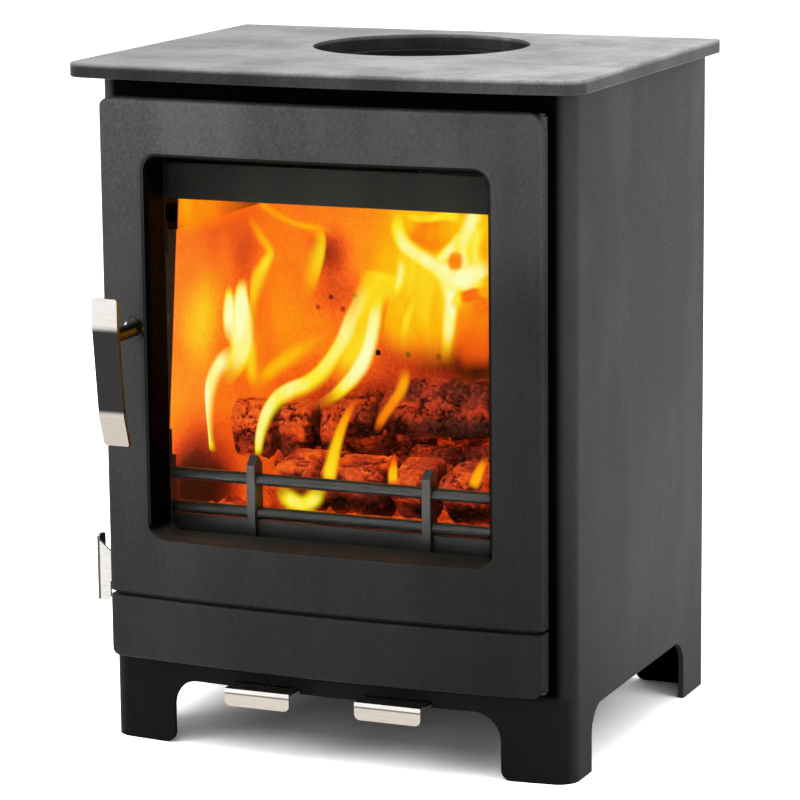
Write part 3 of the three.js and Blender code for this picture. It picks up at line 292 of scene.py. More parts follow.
# heat-resistant paint; painted light and shade come as lists of (axis, from mm, to mm, factor,
# factor) along which the paint and its gloss grow lighter or darker, and as boxes of (low corner,
# high corner, soft mm, factor, whether faces to the front stay clean) darkened as painted shade
def paintFinish(name, dark, light, shine, grain=900.0, blotch=9.0, depth=0.00025, strength=0.5,
                level=0.5, paintedLight=(), paintedShade=()):
    material, tree, shader = newFinish(name, {"Specular IOR Level": level})
    coords = addCoords(tree)
    speckle = addGroup(tree, paintGrain, Grain=grain, Blotch=blotch)
    colour = addMix(tree, speckle["Tone"], dark, light)
    split = addSplit(tree, coords)
    factors = []
    # painted light and shade: the paint and its gloss grow lighter or darker along an axis
    for axis, start, end, first, last in paintedLight:
        factors.append(addRange(tree, split[axis.upper()], placeAlong(axis, start),
                                placeAlong(axis, end), first, last, True))
    # boxes darkened as painted shade, their gloss dimmed with them
    for low, high, soft, black, wallsOnly in paintedShade:
        mask = addBoxMask(tree, coords, low, high, soft)
        if wallsOnly:
            front = addTurned(tree, "Y", 0.8, 0.95)
            mask = addMath(tree, "MULTIPLY", mask, addMath(tree, "SUBTRACT", 1.0, front))
        factors.append(addRange(tree, mask, 0.0, 1.0, 1.0, black))
    if factors:
        factor = addProduct(tree, factors)
        colour = addNode(tree, "VectorMath", {0: colour, "Scale": factor},
                         operation="SCALE").outputs[0]
        gloss = addMath(tree, "MULTIPLY", addMath(tree, "MINIMUM", factor, 1.0), level)
        tree.links.new(gloss, shader.inputs["Specular IOR Level"])
    tree.links.new(colour, shader.inputs["Base Color"])
    rough = addRange(tree, speckle["Tone"], 0, 1, shine + paintSpread, shine - paintSpread)
    tree.links.new(rough, shader.inputs["Roughness"])
    addBump(tree, shader, speckle["Height"], strength, depth)
    return material


# side is the colour of the painted shade on faces turned to the sides
steelLook = {"brush": (90, 3.0, 0.7), "marks": (26, 3.0, 0.55), "streak": (0.1, 0.09, 0.08),
             "streaked": 0.12, "side": (0.05, 0.048, 0.045), "spread": 0.06}


# brushed sheet steel; shades are painted reflections and shade, boxes of (low corner, high corner,
# soft mm, colour), and edge is how dark the faces turned to the sides are painted, a painted shade
def steelFinish(name, tone, smudge, stretch, shine, paintedShades=(), edge=0.0):
    material, tree, shader = newFinish(name, {"Metallic": 1.0})
    coords = addCoords(tree)
    brushed = addNoise(tree, addCoords(tree, stretch=stretch), *steelLook["brush"])
    marks = addNoise(tree, coords, *steelLook["marks"])
    colour = addMix(tree, addRange(tree, marks, 0.35, 0.75), tone, smudge)
    # painted reflections and shade: boxes of darker steel colour
    for low, high, soft, shade in paintedShades:
        colour = addMix(tree, addBoxMask(tree, coords, low, high, soft), colour, shade)
    streaks = addRange(tree, brushed, 0.35, 0.65, 0.0, steelLook["streaked"])
    colour = addMix(tree, streaks, colour, steelLook["streak"])
    # faces turned to the sides are painted darker: painted shade
    paintedSideShade = addMath(tree, "MULTIPLY", addTurned(tree, "X", 0.55, 0.85), edge)
    colour = addMix(tree, paintedSideShade, colour, steelLook["side"])
    tree.links.new(colour, shader.inputs["Base Color"])
    low, high = shine - steelLook["spread"], shine + steelLook["spread"]
    tree.links.new(addRange(tree, brushed, 0.3, 0.7, low, high), shader.inputs["Roughness"])
    addBump(tree, shader, brushed, 0.1, 0.0001)
    return material


# colour of something at a heat from 0, cold, to 1, the palest flame
fireStops = ((0.0, (0.004, 0.0006, 0.0003)), (0.15, (0.12, 0.008, 0.002)),
             (0.3, (0.55, 0.035, 0.006)), (0.45, (0.95, 0.115, 0.006)), (0.6, (1.0, 0.27, 0.004)),
             (0.75, (1.0, 0.52, 0.004)), (0.88, (1.0, 0.84, 0.02)), (1.0, (1.0, 1.0, 0.5)))


def makeFireColour():
    tree, given, out = makeGroup("fire colour", [("Heat", 0.5)], [("Colour", "NodeSocketColor")])
    node = addNode(tree, "ValToRGB", {"Fac": given.outputs["Heat"]})
    elements = node.color_ramp.elements
    while len(elements) < len(fireStops):
        elements.new(0.5)
    for element, (position, colour) in zip(elements, fireStops):
        element.position = position
        element.color = (*colour, 1.0)
    tree.links.new(node.outputs["Color"], out.inputs["Colour"])
    return tree


fireColour = makeFireColour()


def addGlow(tree, shader, heat, strength):
    colour = addGroup(tree, fireColour, Heat=heat)["Colour"]
    tree.links.new(colour, shader.inputs["Emission Color"])
    shader.inputs["Emission Strength"].default_value = strength


# painted firelight on the bricks, given as heat: soft patches on the left brick's side face and on
# the back brick's face, each (u, v, radius in mm, more or less heat), and painted shade in the air
# holes at u, v with (core, rim, heat); behind the faces and in front of a leaning edge a brick
# doesn't glow
brickFirelight = {
    "base": 0.53,
    "sway": 0.07,
    "specks": (-0.07, 0.01),
    "strength": 0.95,
    "cloud": (9, 4.0, 0.55, 0.8),
    "grit": (420, 2.0, 0.5),
    "sideFace": -180.7,
    "backFace": 135.7,
    "behind": (0.5, 1.5),
    "glowEdge": -135,
    "glowEdgeSoft": 1.5,
    "lean": 0.09,
    "holes": ((318, 307), (331, 297), (343, 309), (356, 296)),
    "hole": (1.0, 3.5, -0.24),
    "side": ((203, 320, 62, 0.24), (200, 250, 55, -0.04), (216, 228, 46, -0.1),
             (246, 252, 46, -0.14), (190, 212, 26, 0.12), (190, 475, 70, -0.24),
             (180, 492, 50, -0.2), (215, 500, 70, -0.3), (182, 400, 60, 0.06),
             (196, 490, 85, -0.15), (224, 488, 85, -0.15)),
    "back": ((285, 320, 60, 0.06), (330, 250, 30, -0.3), (333, 285, 40, -0.12),
             (365, 235, 60, 0.06), (433, 236, 40, 0.02), (392, 352, 30, -0.16),
             (478, 350, 50, -0.24), (440, 310, 60, 0.12), (330, 480, 140, -0.16),
             (340, 425, 60, -0.3), (390, 400, 50, -0.3), (430, 366, 40, -0.3),
             (475, 372, 45, -0.3)),
}


def brickFinish():
    material, tree, shader = newFinish("firelit brick", {"Roughness": 0.95})
    coords = addCoords(tree)
    wide = addNoise(tree, coords, *brickFirelight["cloud"])
    fine = addNoise(tree, coords, *brickFirelight["grit"])
    sway, sideFace, backFace = brickFirelight["sway"], brickFirelight["sideFace"], brickFirelight["backFace"]
    changes = [addRange(tree, wide, 0.3, 0.7, -sway, sway)]
    spots = [(onPicture(u, v, sideFace, "x"), 0.0, *rest) for u, v, *rest in brickFirelight["side"]]
    spots += [(onPicture(u, v, backFace), 0.0, *rest) for u, v, *rest in brickFirelight["back"]]
    spots += [(onPicture(u, v, backFace), *brickFirelight["hole"]) for u, v in brickFirelight["holes"]]
    for spot, core, rim, lift in spots:
        away = addNode(tree, "VectorMath", {0: coords, 1: spot}, operation="DISTANCE")
        changes.append(addRange(tree, away.outputs["Value"], core / 1000, rim / 1000, lift, 0.0,
                                True))
    split = addSplit(tree, coords)
    for axis, face, sign in (("x", -sideFace, 1), ("x", sideFace, -1), ("y", backFace, 1)):
        near, far = (placeAlong(axis, face + sign * step) for step in brickFirelight["behind"])
        changes.append(addRange(tree, split[axis.upper()], near, far, 0.0, -1.0))
    leaning = addMath(tree, "MULTIPLY", split["Z"], brickFirelight["lean"])
    near, far = (placeAlong("y", brickFirelight["glowEdge"] + sign * brickFirelight["glowEdgeSoft"])
                 for sign in (-1, 1))
    changes.append(addRange(tree, addMath(tree, "SUBTRACT", split["Y"], leaning), near, far,
                            -1.0, 0.0))
    changes.append(addRange(tree, fine, 0.3, 0.62, *brickFirelight["specks"]))
    heat = brickFirelight["base"]
    for change in changes:
        heat = addMath(tree, "ADD", change, heat)
    # the bricks' glow is painted firelight, with painted shade in the air holes
    addGlow(tree, shader, heat, brickFirelight["strength"])
    surface = addMix(tree, wide, (0.04, 0.02, 0.01), (0.07, 0.04, 0.02))
    tree.links.new(surface, shader.inputs["Base Color"])
    addBump(tree, shader, fine, 0.5, 0.0006)
    return material


def glassFinish():
    material, tree, shader = newFinish("window glass", {
        "Base Color": (0.97, 0.98, 0.96), "Transmission Weight": 1.0, "IOR": 1.02,
        "Specular IOR Level": 0.08})
    haze = addNoise(tree, addCoords(tree), 5, 3.0, 0.5)
    tree.links.new(addRange(tree, haze, 0.3, 0.7, 0.0, 0.03), shader.inputs["Roughness"])
    return material


# the two values that a mesh carries for each point
def readField(tree, name):
    split = addSplit(tree, addNode(tree, "UVMap", uv_map=name).outputs["UV"])
    return split["X"], split["Y"]


# charred wood or ember: its mesh says how deep in a crack and how hot each spot is
def charFinish(name, cold, pale, glow):
    material, tree, shader = newFinish(name, {"Roughness": 0.9, "Specular IOR Level": 0.2})
    openness, heat = readField(tree, "char")
    grain = addNoise(tree, addCoords(tree), 240, 4.0, 0.65)
    fleck = addRange(tree, grain, 0.35, 0.65, -0.09, 0.05)
    surface = addMix(tree, addRange(tree, grain, 0.3, 0.7), cold, pale)
    surface = addMix(tree, openness, (0.002, 0.001, 0.001), surface)
    tree.links.new(surface, shader.inputs["Base Color"])
    addGlow(tree, shader, addMath(tree, "ADD", heat, fleck), glow)
    addBump(tree, shader, grain, 0.8, 0.0015)
    return material


# see-through sheet of flame: its mesh says how hot and how solid each spot is
def flameFinish():
    material, tree, shader = newFinish("flame", {
        "Base Color": (0.0, 0.0, 0.0), "Roughness": 1.0, "Specular IOR Level": 0.0})
    heat, solid = readField(tree, "flame")
    wisps = addNoise(tree, addCoords(tree, stretch=(1, 1, 0.35)), 42, 3.0, 0.55, 0.7)
    shift = addRange(tree, wisps, 0.3, 0.7, -0.045, 0.045)
    addGlow(tree, shader, addMath(tree, "ADD", heat, shift), 1.0)
    tree.links.new(solid, shader.inputs["Alpha"])
    material.cycles.emission_sampling = "NONE"
    return material


# painted shade: boxes where the paint and its gloss are darkened for the shadow inside the body, on
# the front plate behind the door, on the leg fronts and in the window's recess
insideWalls = ((-206.5, -157, -5), (206.5, 162, 571.5), 1.0, 0.02, False)
frontPlate = ((-198, -182, 72), (200, -150, 572), 8.0, 0.05, False)
legFronts = ((-230, -182, -5), (230, -160, 72), 4.0, 0.65, False)
windowRecess = ((-172, -230, 190), (166, -100, 524), 8.0, 0.02, True)
# painted reflections and shade on bright steel: boxes of darker colour that stand for dark things
# mirrored in it and for shade on its edges and folds
steelPaintedShades = {
    "handle middle": ((-190, -260, 299), (-140, -205, 372), 7.0, (0.03, 0.03, 0.03)),
    "handle foot": ((-190, -260, 220), (-140, -205, 299), 7.0, (0.56, 0.5, 0.44)),
    "slide lips": ((-100, -200, 20), (100, -190, 57.4), 1.0, (0.68, 0.61, 0.54)),
    "lever": ((-245, -200, 60), (-190, -100, 230), 3.0, (0.76, 0.74, 0.7)),
    "lever edge": ((-240, -150, 100), (-233.6, -100, 168), 0.8, (0.1, 0.1, 0.1)),
    "spindle collar": ((-172, -212, 330), (-130, -190, 372), 1.0, (0.05, 0.05, 0.05)),
    "lip fold": ((-100, -200, 56.8), (100, -190, 58.2), 0.8, (0.2, 0.18, 0.16)),
}

finishes = {
    # body paint: painted shade in the boxes inside the body, on the front plate and on the leg
    # fronts, and painted light growing towards the top and the back
    "body_paint": paintFinish(
        "body paint", dark=(0.006, 0.006, 0.0063), light=(0.064, 0.064, 0.065), shine=0.5,
        blotch=6.0, depth=0.0004, paintedShade=[insideWalls, frontPlate, legFronts],
        paintedLight=[("z", 40, 560, 0.5, 1.5), ("y", -170, 160, 0.58, 1.65)]),
    # top paint: painted highlight growing towards the right, and painted shade on the plate's edge
    "top_paint": paintFinish(
        "top paint", dark=(0.03, 0.03, 0.029), light=(0.32, 0.315, 0.303), shine=0.24,
        blotch=14.0, depth=0.0003, level=1.0,
        paintedLight=[("x", -220, 220, 0.95, 2.1), ("z", 579, 582.5, 0.17, 1.0)]),
    # casting paint: painted shade in the window recess, and painted light growing towards the top
    # and the left
    "cast_paint": paintFinish(
        "casting paint", dark=(0.013, 0.013, 0.0128), light=(0.046, 0.046, 0.045), shine=0.5,
        grain=330.0, blotch=12.0, depth=0.0009, strength=0.8, paintedShade=[windowRecess],
        paintedLight=[("z", 60, 400, 0.5, 0.8), ("z", 380, 556, 1.0, 3.0), ("x", -200, 200, 1.2, 0.7)]),
    "inner_steel": paintFinish(
        "sooty steel", dark=(0.004, 0.0035, 0.003), light=(0.014, 0.012, 0.01), shine=0.7,
        blotch=22.0, level=0.2),
    "guard_iron": paintFinish(
        "guard iron", dark=(0.01, 0.01, 0.01), light=(0.028, 0.026, 0.025), shine=0.36,
        grain=700.0, blotch=30.0),
    # bright steel: painted reflections and shade in the boxes above, and painted shade on faces
    # turned to the sides
    "bright_steel": steelFinish(
        "bright steel", tone=(0.95, 0.94, 0.92), smudge=(0.84, 0.78, 0.72), stretch=(1, 1, 14),
        shine=0.24, paintedShades=steelPaintedShades.values(), edge=0.9),
    "zinc_steel": steelFinish(
        "plated steel", tone=(0.06, 0.06, 0.06), smudge=(0.03, 0.03, 0.03), stretch=(3, 3, 3),
        shine=0.4),
    "fire_brick": brickFinish(),
    "window_glass": glassFinish(),
    "seal_rope": paintFinish(
        "seal rope", dark=(0.015, 0.015, 0.014), light=(0.06, 0.058, 0.052), shine=0.95,
        grain=420.0, blotch=60.0, depth=0.0012, strength=0.9),
    "charred_wood": charFinish(
        "charred wood", cold=(0.012, 0.007, 0.006), pale=(0.075, 0.036, 0.022), glow=0.85),
    "glowing_ember": charFinish(
        "glowing embers", cold=(0.03, 0.006, 0.003), pale=(0.16, 0.04, 0.015), glow=0.9),
}
flame = flameFinish()

slotOf = {entry["node"]: entry["material_slot"] for entry in frame["record"]["subparts"]}
for nodeName, node in parts.items():
    finish = finishes[slotOf[nodeName]]
    if node.material_slots:
        for holder in node.material_slots:
            holder.material = finish
    else:
        node.data.materials.append(finish)


# field gives each point two values, stored in the mesh under fieldName
def addPiece(name, points, faces, material, fieldName, field, smooth=True):
    mesh = bpy.data.meshes.new(name)
    mesh.from_pydata(points, [], faces)
    mesh.materials.append(material)
    layer = mesh.uv_layers.new(name=fieldName)
    for loop in mesh.loops:
        layer.data[loop.index].uv = field[loop.vertex_index]
    for polygon in mesh.polygons:
        polygon.use_smooth = smooth
    piece = bpy.data.objects.new(name, mesh)
    bpy.context.scene.collection.objects.link(piece)
    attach(piece, "stove")
    return piece


def ease(value):
    value = min(1.0, max(0.0, value))
    return value * value * (3 - 2 * value)


# two waves in mm that warp the cells of cracked charcoal, and how their tones are drawn
cellLook = {"long": 17, "short": 5, "shortShare": 0.35, "toneStep": 3.7}


# crack depth (0 in a crack, 1 on a block) and a tone for the block; size and warp are in mm
def charAt(point, size, width, warp):
    point = Vector(point)
    point += (warp * noise.noise_vector(point / cellLook["long"])
              + cellLook["shortShare"] * warp
              * noise.noise_vector(point / cellLook["short"]))
    scaled = Vector((point[0] / size[0], point[1] / size[1], point[2] / size[2]))
    near, cells = noise.voronoi(scaled)
    crack = ease((near[1] - near[0]) / width)
    block = noise.noise(cells[0] * cellLook["toneStep"]) * 0.5 + 0.5
    return crack, block


print("stove: logs and embers")
# ends and thickness in mm; gaps are (part of the length, depth, half width) where a log has broken
# open; heat is the glow (dim side, top), whose rise to the top is painted firelight, and hot is
# what the left end adds
logs = {
    "log_front": {
        "ends": ((-83, -80, 219), (152, -84, 221)), "thick": 62, "seed": 1, "heat": (0.06, 0.37),
        "hot": 0.06, "gaps": ((0.17, 0.5, 0.018), (0.44, 0.85, 0.02), (0.63, 0.95, 0.03),
                              (0.86, 0.4, 0.02))},
    "log_left": {
        "ends": ((-150, -34, 254), (-60, -16, 250)), "thick": 64, "seed": 2,
        "heat": (0.15, 0.38), "hot": 0.08, "gaps": ((0.42, 0.45, 0.05), (0.8, 0.8, 0.06))},
    "log_right": {
        "ends": ((-14, 6, 267), (160, 12, 278)), "thick": 62, "seed": 4, "heat": (0.02, 0.17),
        "hot": 0.1, "gaps": ((0.04, 0.3, 0.03), (0.55, 0.15, 0.03))},
    "log_back": {
        "ends": ((-118, 56, 221), (112, 60, 224)), "thick": 62, "seed": 6, "heat": (0.06, 0.24),
        "hot": 0.06, "gaps": ((0.3, 0.4, 0.03), (0.7, 0.5, 0.03))},
    "log_under_left": {
        "ends": ((-116, -22, 214), (-18, -20, 212)), "thick": 42, "seed": 3,
        "heat": (0.08, 0.24), "hot": 0.06, "gaps": ((0.5, 0.5, 0.05),)},
    "log_under_right": {
        "ends": ((4, -6, 217), (122, -2, 221)), "thick": 50, "seed": 5, "heat": (0.06, 0.18),
        "hot": 0.06, "gaps": ((0.4, 0.5, 0.04),)},
}
# broken pieces lying loose among the logs
brokenPieces = {
    "upper": {
        "ends": ((-62, -4, 262), (8, 4, 268)), "thick": 50, "seed": 7, "heat": (0.05, 0.3),
        "hot": 0.04, "gaps": ((0.5, 0.5, 0.05),)},
    "middle": {
        "ends": ((-70, 20, 236), (10, 26, 240)), "thick": 40, "seed": 8, "heat": (0.06, 0.24),
        "hot": 0.04, "gaps": ((0.6, 0.5, 0.05),)},
    "lower": {
        "ends": ((-60, -50, 222), (10, -44, 226)), "thick": 26, "seed": 9, "heat": (0.08, 0.3),
        "hot": 0.04, "gaps": ((0.35, 0.6, 0.06),)},
}
# the shape of a log: its mesh and section, its blocks and chips with the grooves between them,
# its grain and lost skin (sizes and depths in mm), and how its gaps and ends narrow it
charLook = {"stations": 130, "corners": 84, "capRings": (0.8, 0.6, 0.4, 0.2), "lobes": 0.16,
            "flat": 0.86, "block": (30, 14, 14), "width": 0.13, "warp": 9.0, "groove": 4.0,
            "step": 4.2, "blockShift": 91, "cracked": 0.7, "uneven": 1.6, "unevenSize": 19,
            "chip": (9, 6, 6), "chipWidth": 0.3, "chipWarp": 3.0, "chipGroove": 0.7,
            "chipShift": 53, "grain": 0.8, "grainSize": (9, 2.5, 2.5), "skin": 1.0,
            "bite": 0.55, "wander": 0.012, "endRound": 0.03, "endShrink": 0.14, "thinnest": 0.5}
# its glow: the embers' own heat by block, by patch and by chip, and painted firelight, more on
# sides that look up and to the front
charHeatAndFirelight = {"half": 0.5, "rise": 0.75, "front": 0.25, "power": 1.6, "block": 0.22,
            "patch": 0.16, "patchSize": 24, "chip": 0.05, "crack": 0.18, "gap": 1.3}


def makeCharLog(name, log):
    start, end = Vector(log["ends"][0]), Vector(log["ends"][1])
    line = end - start
    along = line.normalized()
    side = Vector((0, 0, 1)).cross(along).normalized()
    up = along.cross(side)
    seed = log["seed"]
    low, high = log["heat"]
    points, field, faces = [], [], []
    stations, corners = charLook["stations"], charLook["corners"]

    def addPoint(part, angle, inset):
        radius = log["thick"] / 2 * (1 - charLook["lobes"] * math.cos(3 * angle + seed))
        offset = side * math.cos(angle) + up * (charLook["flat"] * math.sin(angle))
        rough = start + line * part + offset * radius
        shifted = rough + Vector((seed * charLook["blockShift"], 0, 0))
        crack, block = charAt(shifted, charLook["block"], charLook["width"], charLook["warp"])
        uneven = charLook["uneven"] * noise.noise(shifted / charLook["unevenSize"])
        crack = 1 - (1 - crack) * ease(charLook["cracked"] + uneven)
        gap = 0.0
        for middle, depth, half in log["gaps"]:
            wander = noise.noise(Vector((seed, middle * 9, angle * 1.3))) * charLook["wander"]
            gap = max(gap, depth * math.exp(-((part - middle - wander) / half) ** 4))
        shifted = rough + Vector((0, seed * charLook["chipShift"], 0))
        chip, chipTone = charAt(shifted, charLook["chip"], charLook["chipWidth"],
                                charLook["chipWarp"])
        fine = noise.noise(Vector([value / size for value, size
                                   in zip(rough, charLook["grainSize"])]))
        radius -= (charLook["groove"] * (1 - crack) + charLook["step"] * block
                   + charLook["grain"] * fine + charLook["chipGroove"] * (1 - chip)
                   + charLook["skin"])
        radius *= 1 - gap * charLook["bite"]
        endRound = ease(min(part, 1 - part) / charLook["endRound"])
        radius *= inset * (1 - charLook["endShrink"] * (1 - endRound))
        spot = start + line * part + offset * max(radius, charLook["thinnest"])
        # sides that look up and to the front get painted firelight
        upward = offset.z - charHeatAndFirelight["front"] * offset.y
        facing = ease(charHeatAndFirelight["half"] + charHeatAndFirelight["rise"] * upward)
        heat = low + (high - low) * facing ** charHeatAndFirelight["power"] + log["hot"] * (1 - part)
        heat += charHeatAndFirelight["block"] * (block - 0.5)
        heat += charHeatAndFirelight["patch"] * noise.noise(rough / charHeatAndFirelight["patchSize"])
        heat += charHeatAndFirelight["chip"] * (chipTone - 0.5 - (1 - chip))
        solid = crack * (1 - min(1.0, gap * charHeatAndFirelight["gap"]))
        points.append(place(*spot))
        field.append((solid, heat * (charHeatAndFirelight["crack"] + (1 - charHeatAndFirelight["crack"]) * solid)))

    for station in range(stations):
        for corner in range(corners):
            addPoint(station / (stations - 1), 2 * math.pi * corner / corners, 1.0)
    for station in range(stations - 1):
        for corner in range(corners):
            following = (corner + 1) % corners
            first = station * corners
            faces.append((first + corner, first + following, first + corners + following,
                          first + corners + corner))
    for ringStart, part in ((0, 0.0), ((stations - 1) * corners, 1.0)):
        for inset in charLook["capRings"]:
            fresh = len(points)
            for corner in range(corners):
                addPoint(part, 2 * math.pi * corner / corners, inset)
            for corner in range(corners):
                following = (corner + 1) % corners
                ring = (ringStart + corner, ringStart + following, fresh + following,
                        fresh + corner)
                faces.append(ring if part else ring[::-1])
            ringStart = fresh
        cap = tuple(range(ringStart, ringStart + corners))
        faces.append(cap if part else cap[::-1])
    return addPiece("charred_" + name, points, faces, finishes["charred_wood"],
                    "char", field)


for logName, log in logs.items():
    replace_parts(makeCharLog(logName, log), logName)
for pieceName, pieceShape in brokenPieces.items():
    makeCharLog("piece_" + pieceName, pieceShape)

# a domed bed of embers: its edges, height and lumps in mm
bed = {"half": 119, "front": -96, "back": 86, "low": 146.4, "high": 203, "rim": 4,
       "columns": 110, "rows": 84, "size": (15, 15, 15), "width": 0.25, "warp": 5.0,
       "narrowing": 0.6, "domeStart": 0.035, "domePower": 0.22, "lump": 3.5, "grit": 1.2,
       "heat": 0.3, "blockHeat": 0.2, "cloudHeat": 0.16, "cloudSize": 30, "crackHeat": 0.12}


def makeEmberBed():
    points, field, faces = [], [], []
    columns, rows = bed["columns"], bed["rows"]
    height = bed["high"] - bed["low"] - 2 * bed["rim"]
    for column in range(columns):
        x = -bed["half"] + 2 * bed["half"] * column / (columns - 1)
        for row in range(rows):
            part = row / (rows - 1)
            y = bed["front"] + (bed["back"] - bed["front"]) * part
            edge = min(column, columns - 1 - column, row, rows - 1 - row)
            crack, block = charAt((x, y, 0), bed["size"], bed["width"], bed["warp"])
            across = math.sqrt(1 - (x / bed["half"]) ** 2 * bed["narrowing"])
            turn = bed["domeStart"] + part * (1 - 2 * bed["domeStart"])
            dome = math.sin(math.pi * turn) ** bed["domePower"]
            top = bed["low"] + bed["rim"] + height * across * dome
            top += bed["lump"] * crack * block + bed["grit"] * noise.noise(Vector((x, y, 3)) / 3)
            z = top if edge > 1 else bed["low"] + (top - bed["low"]) * edge / 2
            points.append(place(x, y, z))
            heat = bed["heat"] + bed["blockHeat"] * block - bed["crackHeat"] * (1 - crack)
            heat += bed["cloudHeat"] * noise.noise(Vector((x, y, 9)) / bed["cloudSize"])
            field.append((crack, heat))
    for column in range(columns - 1):
        for row in range(rows - 1):
            first = column * rows + row
            faces.append((first, first + rows, first + rows + 1, first + 1))
    around = [column * rows for column in range(columns)]
    around += [(columns - 1) * rows + row for row in range(1, rows)]
    around += [column * rows + rows - 1 for column in range(columns - 2, -1, -1)]
    around += [row for row in range(rows - 2, 0, -1)]
    faces.append(tuple(reversed(around)))
    piece = addPiece("burning_ember_bed", points, faces, finishes["glowing_ember"],
                     "char", field)
    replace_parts(piece, "ember_bed")


makeEmberBed()

# loose coals heaped on the ledge beside the bed, each a ball cut flat on its sides
coalHeaps = {
    "left": {"x": (-176, -124), "y": (-118, 60), "z": (139, 196), "count": 95, "heat": 0.3},
    "right": {"x": (126, 174), "y": (-118, 60), "z": (139, 190), "count": 70, "heat": 0.24},
}
coal = {"size": (7.5, 13.0), "sides": 11, "cut": (0.62, 1), "rough": 0.5, "roughSize": 2.2,
        "fall": (0.75, 1), "glow": (-0.1, 0.14), "cloudHeat": 0.1, "cloudSize": 6}


def makeCoals(name, heap):
    (left, right), (front, back), (foot, top) = heap["x"], heap["y"], heap["z"]
    chance = random.Random(len(name) * 17)
    points, field, faces = [], [], []
    for number in range(heap["count"]):
        size = chance.uniform(*coal["size"])
        part = number / (heap["count"] - 1)
        middle = Vector((chance.uniform(left + size, right - size),
                         chance.uniform(front + size, back - size),
                         foot + size + (top - foot - 2 * size) * part
                         * chance.uniform(*coal["fall"])))
        sides = []
        for side in range(coal["sides"]):
            normal = Vector((chance.gauss(0, 1), chance.gauss(0, 1), chance.gauss(0, 1)))
            sides.append((normal.normalized(), size * chance.uniform(*coal["cut"])))
        ball = bmesh.new()
        bmesh.ops.create_icosphere(ball, subdivisions=3, radius=1)
        first = len(points)
        glow = heap["heat"] + chance.uniform(*coal["glow"])
        for vert in ball.verts:
            reach = size
            for normal, distance in sides:
                facing = vert.co.dot(normal)
                if facing > 0.05:
                    reach = min(reach, distance / facing)
            bumps = noise.noise((middle + vert.co * size) / coal["roughSize"])
            spot = middle + vert.co * (reach + coal["rough"] * bumps)
            points.append(place(*spot))
            field.append((1.0, glow + coal["cloudHeat"] * noise.noise(spot / coal["cloudSize"])))
        faces += [tuple(first + vert.index for vert in face.verts) for face in ball.faces]
        ball.free()
    addPiece("loose_coals_" + name, points, faces, finishes["glowing_ember"],
             "char", field, False)


for heapName, heap in coalHeaps.items():
    makeCoals(heapName, heap)

print("stove: flames")
